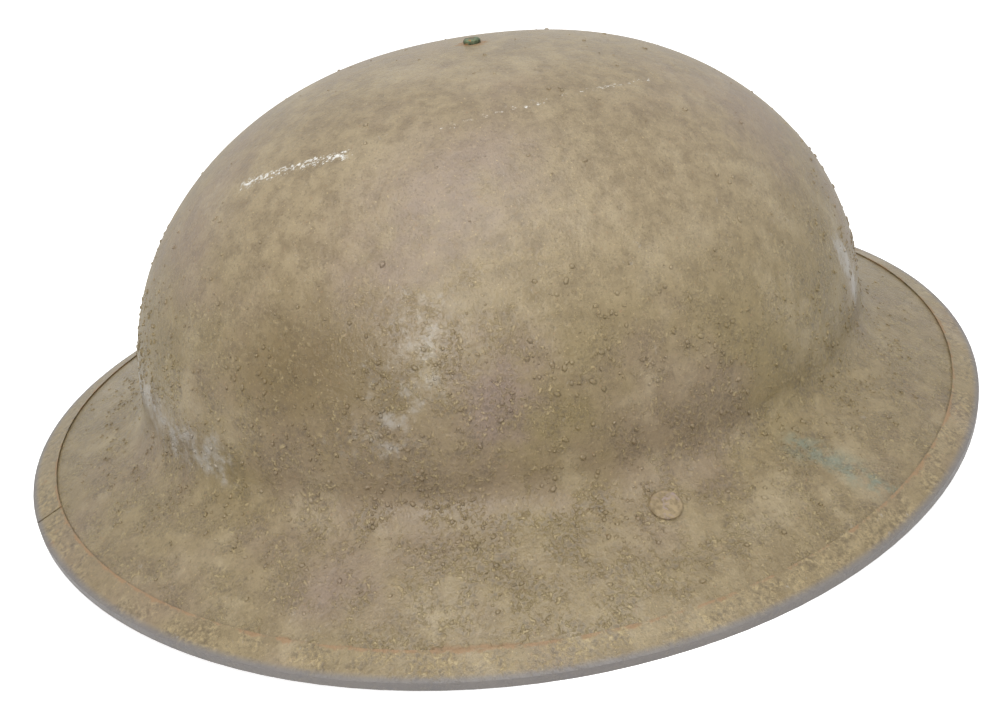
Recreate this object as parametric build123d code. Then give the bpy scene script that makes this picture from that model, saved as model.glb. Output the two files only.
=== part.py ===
from build123d import *
import os
from math import asin, atan2, cos, degrees, radians, sin, sqrt, tan

os.makedirs("parts", exist_ok=True)

# A steel helmet of 1916 pattern: a shallow bowl with a wide brim, pressed from one sheet,
# with a folded rim, and a liner of twine net held by one rivet at the crown.
# Millimetres. The front faces -Y, up is +Z, and the rim's side edges rest at Z = 0.

# Whole helmet, over the rim, and how far its bowl sits behind the rim's middle
helmet_length = 305.0
helmet_width = 293.0
helmet_height = 114.0
bowl_set_back = 3.6

# Pressed shell, its bowl as shares of the helmet's length and width, its arcs as shares of the bowl's
shell_sheet = 1.0
bowl_length_share = 0.778
bowl_width_share = 0.702
crown_radius_share = 0.735
shoulder_radius_share = 0.441
fillet_radius = 10.7
brim_slope = 22.3

# Rim, a strip folded over the shell's edge, its two ends butted near the front
rim_sheet = 0.5
rim_gap = 0.05
rim_leaf = 7.5
rim_joint_gap = 0.8
rim_joint_angle = -84.0

# Crown stack, from the outside in
crown_head_diameter = 5.2
crown_head_height = 1.4
crown_shank_diameter = 3.0
crown_tail_diameter = 5.4
crown_tail_height = 1.2
crown_pad_diameter = 62.0
crown_pad_flat = 20.0
crown_pad_thickness = 8.0
crown_patch_diameter = 40.0
crown_patch_thickness = 1.5
crown_washer_diameter = 13.0
crown_washer_thickness = 1.0

# Liner: a stiff hoop, a folded sweat band inside it and a net from the hoop to the crown,
# with levels and heights as shares of the helmet's height
liner_standoff = 20.0
liner_end_share = 0.88
hoop_thickness = 1.2
hoop_bottom_share = 0.176
hoop_height_share = 0.228
band_thickness = 1.4
band_bottom_share = 0.15
band_height_share = 0.25
band_fold_height = 7.0
net_thickness = 1.6
net_twine = 2.6
net_gores = 24
net_rows = 5

# Rubber cushions between the hoop and the bowl, each on its own rivet
cushion_count = 12
cushion_height_share = 0.14
cushion_bottom_share = 0.242
cushion_bore_share = 0.67
cushion_head_diameter = 5.0
cushion_head_height = 0.4
cushion_shank_diameter = 2.4
cushion_slack = 0.8

# Bails, the wire loops for the chin strap, and the folded lugs that hold them: their rivets sit
# in from the rim by a share of the brim's width
bail_rivet_share = 0.767
bail_head_diameter = 8.6
bail_head_height = 1.0
bail_shank_diameter = 4.0
bail_tail_diameter = 6.4
bail_tail_height = 1.1
bail_wire = 2.6
bail_inner_width = 19.0
bail_depth = 11.0
bail_corner = 3.6
bail_droop = 20.0
lug_sheet = 0.9
lug_width = 10.0
lug_pivot_reach = 8.0
lug_tip = 5.5
lug_bend = 0.8

# Chin strap, tucked up inside the bowl, in two parts joined by the buckle: its turns lie at
# shares of the helmet's width and height
strap_width = 16.0
strap_thickness = 2.0
strap_low_share = 0.263
strap_shoulder_reach_share = 0.195
strap_shoulder_height_share = 0.702
strap_crown_reach_share = 0.082
strap_crown_height_share = 0.833
strap_low_bend = 9.0
strap_shoulder_bend = 16.0
strap_crown_bend = 40.0
strap_lap = 13.0
strap_fold_bend = 2.0
strap_hole_diameter = 3.8
strap_hole_pitch = 12.0

# Buckle on the chin strap, with its tongue, and the keeper that slides below it: their places and
# the strap's tail are shares of the strap's straight stretch
buckle_place_share = 0.56
buckle_wire = 2.2
buckle_inner_width = 17.6
buckle_length = 13.0
buckle_corner = 2.4
tongue_wire = 1.8
tongue_tip = 2.6
tongue_eye_turn = 255.0
strap_tail_share = 0.385
strap_dip = 1.2
strap_dip_bend = 4.0
keeper_place_share = 0.245
keeper_width = 7.0
keeper_thickness = 1.2

# Clearances, and how far cuts run past what they cut
seat_gap = 0.03
running_gap = 0.1
soft_gap = 0.3
overrun = 60.0

# Angles and counts that several pieces share
fold_pinch = 45.0
both_sides = (1, -1)
strap_hole_steps = (-1, 2, 3, 4, 5, 6)

# What follows from the sizes above
bowl_length = bowl_length_share * helmet_length
bowl_width = bowl_width_share * helmet_width
bowl_oval = bowl_length / bowl_width
bail_rivet_inset = bail_rivet_share * (helmet_width - bowl_width) / 2
crown_radius = crown_radius_share * bowl_width
shoulder_radius = shoulder_radius_share * bowl_width
slope = radians(brim_slope)
rim_fold = rim_sheet + rim_gap
down_brim = Vector(cos(slope), -sin(slope))
off_brim = Vector(sin(slope), cos(slope))
brim_edge = Vector(helmet_width / 2, (shell_sheet + rim_fold) / cos(slope))
crown_centre = Vector(0, helmet_height - crown_radius)
shoulder_offset = bowl_width / 2 - shoulder_radius
shoulder_climb = sqrt((crown_radius - shoulder_radius) ** 2 - shoulder_offset**2)
shoulder_centre = crown_centre + Vector(shoulder_offset, shoulder_climb)
hoop_bottom = hoop_bottom_share * helmet_height
hoop_height = hoop_height_share * helmet_height
band_bottom = band_bottom_share * helmet_height
band_height = band_height_share * helmet_height
cushion_height = cushion_height_share * helmet_height
cushion_bottom = cushion_bottom_share * helmet_height
hoop_half_width = bowl_width / 2 - shell_sheet - liner_standoff
hoop_half_length = bowl_length / 2 - shell_sheet - liner_standoff
end_radius = liner_end_share * hoop_half_width
end_offset = hoop_half_length - end_radius
side_radius = (hoop_half_width**2 + end_offset**2 - end_radius**2) / (hoop_half_width - end_radius) / 2
side_offset = side_radius - hoop_half_width
side_turn = degrees(atan2(end_offset, side_offset))
crown_inside = helmet_height - shell_sheet
pad_bottom = crown_inside - seat_gap - crown_pad_thickness
net_top = pad_bottom - seat_gap
patch_top = net_top - net_thickness - seat_gap
washer_top = patch_top - crown_patch_thickness - seat_gap
washer_bottom = washer_top - crown_washer_thickness
net_top_share = (crown_patch_diameter / 2 + 2 * soft_gap) / hoop_half_width


def fillet_middle():
    # Centre of the arc that joins the bowl's shoulder to the brim, tangent to both
    start = brim_edge + off_brim * fillet_radius
    reach = start - shoulder_centre
    along = reach.dot(down_brim)
    apart = reach.length**2 - (shoulder_radius + fillet_radius) ** 2
    return start - down_brim * (along - sqrt(along**2 - apart))


fillet_centre = fillet_middle()


def pressing(inset):
    # Solid below the pressed face, moved in by the inset: a revolved outline, drawn out to an oval
    to_shoulder = (shoulder_centre - crown_centre).normalized()
    to_fillet = (fillet_centre - shoulder_centre).normalized()
    top = Vector(0, helmet_height - inset)
    shoulder_top = crown_centre + to_shoulder * (crown_radius - inset)
    shoulder_foot = shoulder_centre + to_fillet * (shoulder_radius - inset)
    fillet_foot = fillet_centre - off_brim * (fillet_radius + inset)
    brim_end = brim_edge - off_brim * inset + down_brim * overrun
    outline = [
        RadiusArc(top, shoulder_top, crown_radius - inset),
        RadiusArc(shoulder_top, shoulder_foot, shoulder_radius - inset),
        RadiusArc(shoulder_foot, fillet_foot, -fillet_radius - inset),
        Polyline(fillet_foot, brim_end, (brim_end.X, -overrun), (0, -overrun), top),
    ]
    body = revolve(Plane.XZ * make_face(outline), Axis.Z)
    return scale(body, by=(1, bowl_oval, 1))


# All is modelled round the bowl's own axis, which the rim's middle lies ahead of
rim_middle = Pos(0, -bowl_set_back, 0)


def pressed_sheet(outer_inset, inner_inset):
    return pressing(outer_inset) - pressing(inner_inset)


def plan_oval(grow):
    # Upright prism of the helmet's plan outline, grown by a margin
    oval = Ellipse(helmet_width / 2 + grow, helmet_length / 2 + grow)
    return rim_middle * extrude(oval, helmet_height + overrun, both=True)


def brim_plane():
    # Plane on the brim's outside face at the right bail's rivet: X down the slope, Z square to it
    reach = brim_edge.X - bail_rivet_inset
    turn = -asin(bowl_set_back / (bowl_oval * reach))
    place = (reach * cos(turn), bowl_oval * reach * sin(turn), brim_edge.Y + bail_rivet_inset * tan(slope))
    normal = Vector(sin(slope) * cos(turn), sin(slope) * sin(turn) / bowl_oval, cos(slope))
    level = Vector(0, 0, 1).cross(normal).normalized()
    return Plane(origin=place, x_dir=level.cross(normal), z_dir=normal)


brim_at_bail = brim_plane()


def on_side(body, side):
    # The right-hand piece itself, or its mirror image for the left
    return body if side > 0 else mirror(body, about=Plane.YZ)


def rivet(head_diameter, head_height, shank_diameter, grip, tail_diameter, tail_height):
    # Round rivet along Z, its head seated at Z = 0 and its tail below what it grips
    head_edge = head_height / 3
    tail_edge = tail_height / 3
    tail_top = -grip - seat_gap
    tail_bottom = tail_top - tail_height
    outline = Polyline(
        (0, head_height),
        (head_diameter / 2 - head_edge, head_height),
        (head_diameter / 2, head_height - head_edge),
        (head_diameter / 2, seat_gap),
        (shank_diameter / 2, seat_gap),
        (shank_diameter / 2, tail_top),
        (tail_diameter / 2, tail_top),
        (tail_diameter / 2, tail_bottom + tail_edge),
        (tail_diameter / 2 - tail_edge, tail_bottom),
        (0, tail_bottom),
        close=True,
    )
    return revolve(Plane.XZ * make_face(outline), Axis.Z)


def flat_rivet(head_diameter, head_height, shank_diameter, grip):
    # Plain rivet along Z with the same flat disc at each end of what it grips
    upright = (Align.CENTER, Align.CENTER, Align.MIN)
    disc = Cylinder(head_diameter / 2, head_height, align=upright)
    tail_top = -grip - seat_gap
    shank = Cylinder(shank_diameter / 2, head_height - tail_top + head_height, align=upright)
    return disc + Pos(0, 0, tail_top - head_height) * (disc + shank)


def rivet_hole(shank_diameter, depth):
    return Cylinder(shank_diameter / 2 + running_gap, 2 * depth)


def folded_leaf(bar_diameter, clearance, sheet, run, lap, bend):
    # A leaf round a bar at the origin: it comes in along X above the bar, wraps it and folds back
    leaf = bar_diameter / 2 + clearance + sheet / 2
    back = leaf - sheet - seat_gap
    pinch = radians(fold_pinch)
    leave = Vector(leaf * sin(pinch), -leaf * cos(pinch))
    meet = leave + Vector(cos(pinch), sin(pinch)) * ((back - leave.Y) / sin(pinch))
    path = [
        Line((run, leaf), (0, leaf)),
        CenterArc((0, 0), leaf, 90, 180 + fold_pinch),
        FilletPolyline(leave, meet, (lap, back), radius=bend),
    ]
    return trace(path, sheet)


def shell():
    body = pressed_sheet(0, shell_sheet) & plan_oval(-rim_fold)
    body -= Pos(0, 0, helmet_height) * rivet_hole(crown_shank_diameter, crown_head_diameter)
    for side in both_sides:
        cutter = brim_at_bail * rivet_hole(bail_shank_diameter, bail_head_diameter)
        body -= on_side(cutter, side)
    return body


def rim_strip():
    strip = pressed_sheet(-rim_fold, shell_sheet + rim_fold) & plan_oval(0)
    strip -= plan_oval(-rim_leaf)
    inner_ring = plan_oval(-rim_sheet) - plan_oval(-2 * rim_leaf)
    strip -= pressed_sheet(-rim_gap, shell_sheet + rim_gap) & inner_ring
    from_centre = (Align.MIN, Align.CENTER, Align.CENTER)
    joint = Box(helmet_length, rim_joint_gap, helmet_height, align=from_centre)
    return strip - rim_middle * Rot(0, 0, rim_joint_angle) * joint


def crown_pad():
    # Felt disc, flat below and drawn down at its edge to lie under the crown
    inner_radius = crown_radius - shell_sheet
    edge_drop = inner_radius - sqrt(inner_radius**2 - (crown_pad_diameter / 2) ** 2)
    flat_drop = inner_radius - sqrt(inner_radius**2 - (crown_pad_flat / 2) ** 2)
    outline = Polyline(
        (0, crown_inside - flat_drop - seat_gap),
        (crown_pad_flat / 2, crown_inside - flat_drop - seat_gap),
        (crown_pad_diameter / 2, crown_inside - edge_drop - seat_gap),
        (crown_pad_diameter / 2, pad_bottom),
        (0, pad_bottom),
        close=True,
    )
    disc = revolve(Plane.XZ * make_face(outline), Axis.Z)
    return disc - Pos(0, 0, crown_inside) * rivet_hole(crown_shank_diameter, crown_pad_diameter)


def crown_disc(diameter, thickness, top):
    from_top = (Align.CENTER, Align.CENTER, Align.MAX)
    disc = Cylinder(diameter / 2, thickness, align=from_top)
    return Pos(0, 0, top) * (disc - rivet_hole(crown_shank_diameter, diameter))


def crown_rivet():
    grip = helmet_height - washer_bottom
    body = rivet(
        crown_head_diameter, crown_head_height, crown_shank_diameter, grip,
        crown_tail_diameter, crown_tail_height,
    )
    return Pos(0, 0, helmet_height) * body


def liner_oval(inset):
    # The hoop's outside oval, of four tangent arcs, set in by a distance
    end = end_radius - inset
    side = side_radius - inset
    return make_face([
        CenterArc((-side_offset, 0), side, -side_turn, 2 * side_turn),
        CenterArc((0, end_offset), end, side_turn, 180 - 2 * side_turn),
        CenterArc((side_offset, 0), side, 180 - side_turn, 2 * side_turn),
        CenterArc((0, -end_offset), end, 180 + side_turn, 180 - 2 * side_turn),
    ])


def oval_normal(turn):
    return Vector(cos(radians(turn)), sin(radians(turn)), 0)


def oval_point(turn, inset):
    # Point of the oval where it faces the angle asked for
    normal = oval_normal(turn)
    if abs(normal.Y) < sin(radians(side_turn)):
        middle = Vector(-side_offset if normal.X > 0 else side_offset, 0, 0)
        return middle + normal * (side_radius - inset)
    middle = Vector(0, end_offset if normal.Y > 0 else -end_offset, 0)
    return middle + normal * (end_radius - inset)


def oval_ring(inset, thickness, bottom, height):
    # Upright band that follows the liner's oval, set in from it
    ring = liner_oval(inset) - liner_oval(inset + thickness)
    return Pos(0, 0, bottom) * extrude(ring, height)


def cushion_places():
    # Planes on the hoop's outside, one for each cushion, facing out of it
    places = []
    middle = Vector(0, 0, cushion_bottom + cushion_height / 2)
    for turn in cushion_turns:
        at = oval_point(turn, 0) + middle
        places.append(Plane(origin=at, x_dir=(0, 0, 1), z_dir=oval_normal(turn)))
    return places


def bowl_reach(height):
    # Half the bowl's inside width at a height on its shoulder
    climb = height - shoulder_centre.Y
    return shoulder_centre.X + sqrt((shoulder_radius - shell_sheet) ** 2 - climb**2)


def room_beside(turn):
    # From the hoop square across to the bowl's inside, level with the cushions' tops
    start = oval_point(turn, 0)
    ahead = oval_normal(turn)
    squared = ahead.X**2 + (ahead.Y / bowl_oval) ** 2
    mixed = start.X * ahead.X + start.Y * ahead.Y / bowl_oval**2
    short = bowl_reach(cushion_bottom + cushion_height) ** 2 - start.X**2 - (start.Y / bowl_oval) ** 2
    return (sqrt(mixed**2 + squared * short) - mixed) / squared


cushion_turns = [(step + 1 / 2) * 360 / cushion_count for step in range(cushion_count)]
cushion_room = min(room_beside(turn) for turn in cushion_turns)
cushion_diameter = cushion_room - seat_gap - cushion_slack
cushion_bore = cushion_bore_share * cushion_diameter
cushion_wall = (cushion_diameter - cushion_bore) / 2
cushion_rivet_room = cushion_head_height + 2 * running_gap


def liner_hoop():
    hoop = oval_ring(0, hoop_thickness, hoop_bottom, hoop_height)
    cutter = rivet_hole(cushion_shank_diameter, cushion_head_diameter)
    return hoop - [place * cutter for place in cushion_places()]


def head_band():
    # Sweat band with its lower edge turned up outside the hoop
    inside = hoop_thickness + cushion_rivet_room
    fold = hoop_bottom - seat_gap - band_bottom
    outside = -seat_gap - band_thickness
    leaf = oval_ring(inside, band_thickness, band_bottom, band_height)
    turned = oval_ring(outside, band_thickness, band_bottom, band_fold_height)
    sole = oval_ring(outside, inside - outside + band_thickness, band_bottom, fold)
    return leaf + turned + sole


def net_corner(row, gore, inset):
    # Corner of the net's mesh: rows climb from the hoop to the crown patch, gores go round
    steepest = sqrt(1 - net_top_share**2)
    rise_share = sin(row / net_rows * asin(steepest)) / steepest
    reach_share = sqrt(1 - (rise_share * steepest) ** 2)
    foot = hoop_bottom + hoop_height + seat_gap
    level = foot + rise_share * (net_top - inset - foot)
    return oval_point(360 / net_gores * gore, inset) * reach_share + Vector(0, 0, level)


def net_dome(inset):
    # Faceted dome of taut cloth between straight strands
    rings = []
    for row in range(net_rows + 1):
        corners = [net_corner(row, gore, inset) for gore in range(net_gores)]
        rings.append(make_face(Polyline(*corners, close=True)))
    return loft(rings, ruled=True)


def net_opening(row, gore):
    corners = [
        net_corner(row, gore, net_thickness / 2),
        net_corner(row, gore + 1, net_thickness / 2),
        net_corner(row + 1, gore + 1, net_thickness / 2),
        net_corner(row + 1, gore, net_thickness / 2),
    ]
    face = make_face(Polyline(*corners, close=True))
    mesh = offset(face, -net_twine / 2, kind=Kind.INTERSECTION)
    return extrude(mesh, 2 * net_thickness, both=True)


def liner_net():
    body = net_dome(0) - net_dome(net_thickness)
    body -= [net_opening(row, gore) for row in range(net_rows) for gore in range(net_gores)]
    return body - Pos(0, 0, net_top) * rivet_hole(crown_shank_diameter, crown_patch_diameter)


def cushion():
    # Length of rubber tube, upright beside the hoop, with a hole for its rivet
    centre = Pos(0, 0, cushion_diameter / 2 + seat_gap) * Rot(0, 90, 0)
    tube = Cylinder(cushion_diameter / 2, cushion_height) - Cylinder(cushion_bore / 2, cushion_height)
    hole = rivet_hole(cushion_shank_diameter, cushion_wall + cushion_head_diameter / 2)
    return centre * tube - hole


def cushion_rivets():
    # One rivet for each cushion, its head inside the hoop and its tail in the tube's bore
    bore_sag = cushion_bore / 2 - sqrt((cushion_bore / 2) ** 2 - (cushion_head_diameter / 2) ** 2)
    grip = running_gap + hoop_thickness + seat_gap + cushion_wall + bore_sag
    body = flat_rivet(cushion_head_diameter, cushion_head_height, cushion_shank_diameter, grip)
    seated = Pos(0, 0, -hoop_thickness - running_gap) * Rot(180, 0, 0) * body
    return Compound([(place * seated).solid() for place in cushion_places()])


# The bail's pivot and bar, and the plane of its loop: X from the pivot to the bar
lug_leaf = bail_wire / 2 + running_gap + lug_sheet / 2
lug_top = -shell_sheet - running_gap
pivot = brim_at_bail.from_local_coords(Vector(-lug_pivot_reach, 0, lug_top - lug_sheet / 2 - lug_leaf))
inwards = Vector(brim_at_bail.y_dir.Y, -brim_at_bail.y_dir.X, 0) * -1
bail_heading = inwards * cos(radians(bail_droop)) - Vector(0, 0, 1) * sin(radians(bail_droop))
bail_plane = Plane(origin=pivot, x_dir=bail_heading, z_dir=bail_heading.cross(brim_at_bail.y_dir))
bar = bail_plane.from_local_coords(Vector(bail_depth, 0, 0))


def bail_lug():
    lug_plane = Plane(origin=pivot, x_dir=brim_at_bail.x_dir, z_dir=brim_at_bail.y_dir * -1)
    tip = lug_pivot_reach + lug_tip
    leaf = folded_leaf(bail_wire, running_gap, lug_sheet, tip, tip, lug_bend)
    body = lug_plane * extrude(leaf, lug_width / 2, both=True)
    return body - brim_at_bail * rivet_hole(bail_shank_diameter, bail_head_diameter)


def bail_rivet():
    grip = shell_sheet + running_gap + 2 * lug_sheet + seat_gap
    body = rivet(
        bail_head_diameter, bail_head_height, bail_shank_diameter, grip,
        bail_tail_diameter, bail_tail_height,
    )
    return brim_at_bail * body


def wire_loop(length, inner_width, wire, corner):
    # Closed loop of round wire from X = 0 to X = length, measured between its end bars' centres
    path = Pos(length / 2, 0) * RectangleRounded(length, inner_width + wire, corner)
    across = Plane(origin=(length / 2, (inner_width + wire) / 2, 0), z_dir=(1, 0, 0))
    return sweep(across * Circle(wire / 2), path=path.wire())


def bail():
    return bail_plane * wire_loop(bail_depth, bail_inner_width, bail_wire, bail_corner)


# The chin strap's plane, seen along +Y, and its right-hand points as the strap leaves the bail
strap_plane = Plane(origin=(0, bar.Y, 0), x_dir=(1, 0, 0), z_dir=(0, -1, 0))
bar_point = Vector(bar.X, bar.Z)
leaf_reach = bail_wire / 2 + soft_gap + strap_thickness / 2
heading = Vector(-cos(radians(bail_droop)), -sin(radians(bail_droop)))
below = Vector(-heading.Y, heading.X)
leaf_start = bar_point + below * leaf_reach
leaf_run = (leaf_start.X - strap_low_share * helmet_width) / -heading.X
low_point = leaf_start + heading * leaf_run
shoulder_point = Vector(
    strap_shoulder_reach_share * helmet_width, strap_shoulder_height_share * helmet_height
)
crown_point = Vector(strap_crown_reach_share * helmet_width, strap_crown_height_share * helmet_height)
straight_stretch = (shoulder_point - low_point).length
buckle_place = buckle_place_share * straight_stretch
keeper_place = keeper_place_share * straight_stretch
strap_tail = strap_tail_share * straight_stretch
up_strap = (shoulder_point - low_point).normalized()
face_side = Vector(-up_strap.Y, up_strap.X)


def strap_point(place, out):
    # Point beside the strap's straight right-hand stretch, out from it towards the head
    return low_point + up_strap * place + face_side * out


# The buckle lies across the long strap: its hinge bar behind the strap and its far bar in front
hinge_out = -(buckle_wire + strap_thickness) / 2 - soft_gap
far_out = -strap_dip + (buckle_wire + strap_thickness) / 2 + soft_gap
tail_out = strap_thickness + seat_gap + running_gap
buckle_rise = far_out - hinge_out
buckle_run = sqrt(buckle_length**2 - buckle_rise**2)
hinge_point = strap_point(buckle_place, hinge_out)
far_point = strap_point(buckle_place + buckle_run, far_out)


def in_strap_plane(origin, toward, up):
    # Plane with X along the strap and Y towards the side asked for, at a point of its side view
    local = Plane(origin=(origin.X, origin.Y, 0), x_dir=(toward.X, toward.Y, 0), z_dir=toward.cross(up))
    return strap_plane * local.location


def strap_solid(face):
    return strap_plane * extrude(face, strap_width / 2, both=True)


def strap_eye():
    # The strap's end, folded round the bail's bar, as a solid in place
    fold = folded_leaf(bail_wire, soft_gap, strap_thickness, strap_lap / 2, strap_lap, strap_fold_bend)
    return in_strap_plane(bar_point, heading, below) * extrude(fold, strap_width / 2, both=True)


def chin_strap_short():
    # From the right bail to the buckle's hinge bar, folded round both and slotted for the tongue
    path = FilletPolyline(leaf_start, low_point, strap_point(buckle_place, 0), radius=strap_low_bend)
    fold = folded_leaf(buckle_wire, soft_gap, strap_thickness, strap_lap / 2, strap_lap, strap_fold_bend)
    at_hinge = in_strap_plane(hinge_point, up_strap * -1, face_side)
    slot_radius = buckle_wire / 2 + running_gap + tongue_wire + soft_gap
    slot_width = tongue_wire + 2 * soft_gap
    slot = extrude(Rectangle(2 * slot_radius, 4 * slot_radius), slot_width / 2, both=True)
    body = strap_solid(trace(path, strap_thickness)) + strap_eye()
    body += at_hinge * extrude(fold, strap_width / 2, both=True)
    return body - at_hinge * slot


def long_strap_path():
    mirrored = [Vector(-p.X, p.Y) for p in (leaf_start, low_point, shoulder_point, crown_point)]
    points = [
        *mirrored,
        crown_point,
        shoulder_point,
        strap_point(buckle_place + buckle_run + strap_dip_bend, -strap_dip),
        strap_point(buckle_place + buckle_run - strap_dip_bend / 2, -strap_dip),
        strap_point(buckle_place + strap_dip_bend / 2, tail_out),
        strap_point(buckle_place - strap_tail, tail_out),
    ]
    bends = [
        strap_low_bend, strap_shoulder_bend, strap_crown_bend, strap_crown_bend,
        strap_shoulder_bend, strap_dip_bend, strap_dip_bend, strap_dip_bend,
    ]
    return FilletPolyline(*points, radius=bends)


# The buckle's own side view: X from the hinge bar to the far bar, Y out to the face side
buckle_along = (far_point - hinge_point).normalized()
buckle_side = in_strap_plane(hinge_point, buckle_along, Vector(-buckle_along.Y, buckle_along.X))
tongue_eye = (buckle_wire + tongue_wire) / 2 + running_gap


def chin_strap_long():
    # From the left bail over the crown, through the buckle and down to its tail
    path = long_strap_path()
    body = strap_solid(trace(path, strap_thickness)) + mirror(strap_eye(), about=Plane.YZ)
    upwards = path.length - strap_tail
    for step in strap_hole_steps:
        place = path.wire().location_at(upwards - step * strap_hole_pitch, PositionMode.LENGTH)
        body -= strap_plane * (place * Cylinder(strap_hole_diameter / 2, 2 * strap_thickness))
    pierced = Rot(0, 90, 0) * Cylinder(tongue_wire / 2 + soft_gap, buckle_length)
    body -= buckle_side * (Pos(buckle_length / 2, tongue_eye, 0) * pierced)
    print("long strap length", round(path.length, 1))
    return body


def buckle_frame():
    # The loop's own plane holds the strap's width, so it is turned over from the side view
    loop = wire_loop(buckle_length, buckle_inner_width, buckle_wire, buckle_corner)
    return buckle_side * (Rot(90, 0, 0) * loop)


def buckle_tongue():
    # Wire with an open eye round the hinge bar and a straight shank that rests on the far bar
    tip = Vector(buckle_length + tongue_tip, tongue_eye)
    path = Wire([
        CenterArc((0, 0), tongue_eye, 90, tongue_eye_turn).edge(),
        Line((0, tongue_eye), tip).edge(),
    ])
    across = Plane(origin=tip, z_dir=(-1, 0, 0))
    return buckle_side * sweep(across * Circle(tongue_wire / 2), path=path)


def strap_keeper():
    # Leather loop round the short strap and the long strap's tail
    stack = strap_thickness + tail_out + 2 * soft_gap
    width = strap_width + 2 * soft_gap
    wall = 2 * keeper_thickness
    ring = RectangleRounded(stack + wall, width + wall, keeper_thickness) - Rectangle(stack, width)
    body = Rot(0, 90, 0) * extrude(ring, keeper_width / 2, both=True)
    place = strap_point(buckle_place - keeper_place, tail_out / 2)
    return in_strap_plane(place, up_strap, face_side) * (Rot(90, 0, 0) * body)


def write(name, body):
    # Into the helmet's frame, whose origin is under the rim's middle
    export_step(Pos(0, bowl_set_back, 0) * body, f"parts/{name}.step")
    print(name, "volume", round(body.volume, 1))


write("shell", shell())
write("rim_strip", rim_strip())
write("crown_rivet", crown_rivet())
write("crown_pad", crown_pad())
write("crown_patch", crown_disc(crown_patch_diameter, crown_patch_thickness, patch_top))
write("crown_washer", crown_disc(crown_washer_diameter, crown_washer_thickness, washer_top))
write("liner_net", liner_net())
write("liner_hoop", liner_hoop())
write("head_band", head_band())
for number, place in enumerate(cushion_places(), start=1):
    write(f"cushion_{number:02d}", place * cushion())
write("cushion_rivets", cushion_rivets())
for side, hand in zip(both_sides, ("right", "left")):
    write(f"bail_lug_{hand}", on_side(bail_lug(), side))
    write(f"bail_rivet_{hand}", on_side(bail_rivet(), side))
    write(f"bail_{hand}", on_side(bail(), side))
write("chin_strap_short", chin_strap_short())
write("chin_strap_long", chin_strap_long())
write("buckle_frame", buckle_frame())
write("buckle_tongue", buckle_tongue())
write("strap_keeper", strap_keeper())
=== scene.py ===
import bmesh
import bpy
import math
import numpy as np
from mathutils import Matrix, Vector, noise


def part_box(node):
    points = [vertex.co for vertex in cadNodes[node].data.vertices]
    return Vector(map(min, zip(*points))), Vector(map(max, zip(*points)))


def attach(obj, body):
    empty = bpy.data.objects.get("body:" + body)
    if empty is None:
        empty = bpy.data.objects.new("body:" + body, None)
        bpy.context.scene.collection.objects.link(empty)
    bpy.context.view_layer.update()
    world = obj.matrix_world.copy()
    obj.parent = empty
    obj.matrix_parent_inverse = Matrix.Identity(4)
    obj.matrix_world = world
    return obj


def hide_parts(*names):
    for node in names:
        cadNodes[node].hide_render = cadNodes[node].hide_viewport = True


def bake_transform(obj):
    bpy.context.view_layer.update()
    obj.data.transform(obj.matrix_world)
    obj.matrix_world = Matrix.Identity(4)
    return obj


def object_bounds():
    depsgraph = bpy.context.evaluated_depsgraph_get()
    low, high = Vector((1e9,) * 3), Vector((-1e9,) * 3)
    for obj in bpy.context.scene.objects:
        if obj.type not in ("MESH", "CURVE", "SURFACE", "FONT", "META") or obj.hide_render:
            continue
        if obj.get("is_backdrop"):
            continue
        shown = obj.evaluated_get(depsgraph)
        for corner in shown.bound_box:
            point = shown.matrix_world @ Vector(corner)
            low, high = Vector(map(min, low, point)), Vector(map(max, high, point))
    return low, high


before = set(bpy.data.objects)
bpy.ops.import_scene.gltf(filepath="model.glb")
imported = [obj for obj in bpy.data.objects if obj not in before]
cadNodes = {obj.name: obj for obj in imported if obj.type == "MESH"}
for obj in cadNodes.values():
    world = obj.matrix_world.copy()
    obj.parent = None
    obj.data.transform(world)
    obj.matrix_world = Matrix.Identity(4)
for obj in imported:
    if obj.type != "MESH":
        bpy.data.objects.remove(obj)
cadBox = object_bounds()
mm = 0.001
scene = bpy.context.scene
scene.view_settings.view_transform = "Standard"


# helpers for finishes, trees and meshes
def tone(red, green, blue):  # screen colour, 0 to 255, to the linear colour that Blender mixes
    return tuple(((c / 255 + 0.055) / 1.055) ** 2.4 if c > 10 else c / 255 / 12.92 for c in (red, green, blue)) + (1,)


def put(tree, kind, inputs=None, **settings):
    made = tree.nodes.new(kind)
    for key, value in settings.items():
        setattr(made, key, value)
    for key, value in (inputs or {}).items():
        socket = made.inputs[key]
        if isinstance(value, bpy.types.NodeSocket):
            tree.links.new(value, socket)
        else:
            socket.default_value = value
    return made


def sums(tree, operation, first, second=0.0, third=0.0, **settings):
    return put(tree, "ShaderNodeMath", {0: first, 1: second, 2: third}, operation=operation, **settings).outputs[0]


def plus(tree, first, second):
    return sums(tree, "ADD", first, second)


def minus(tree, first, second):
    return sums(tree, "SUBTRACT", first, second)


def times(tree, first, second):
    return sums(tree, "MULTIPLY", first, second)


def ratio(tree, first, second):
    return sums(tree, "DIVIDE", first, second)


def squared(tree, value):
    return sums(tree, "POWER", value, 2.0)


def vectorSums(tree, operation, first, second):
    return put(tree, "ShaderNodeVectorMath", {0: first, 1: second}, operation=operation).outputs[0]


def scaled(tree, vector, factor):
    return put(tree, "ShaderNodeVectorMath", {0: vector, "Scale": factor}, operation="SCALE").outputs[0]


def split(tree, vector):
    return put(tree, "ShaderNodeSeparateXYZ", {0: vector}).outputs


def vectorOf(tree, x=0.0, y=0.0, z=0.0):
    return put(tree, "ShaderNodeCombineXYZ", {0: x, 1: y, 2: z}).outputs[0]


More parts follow.
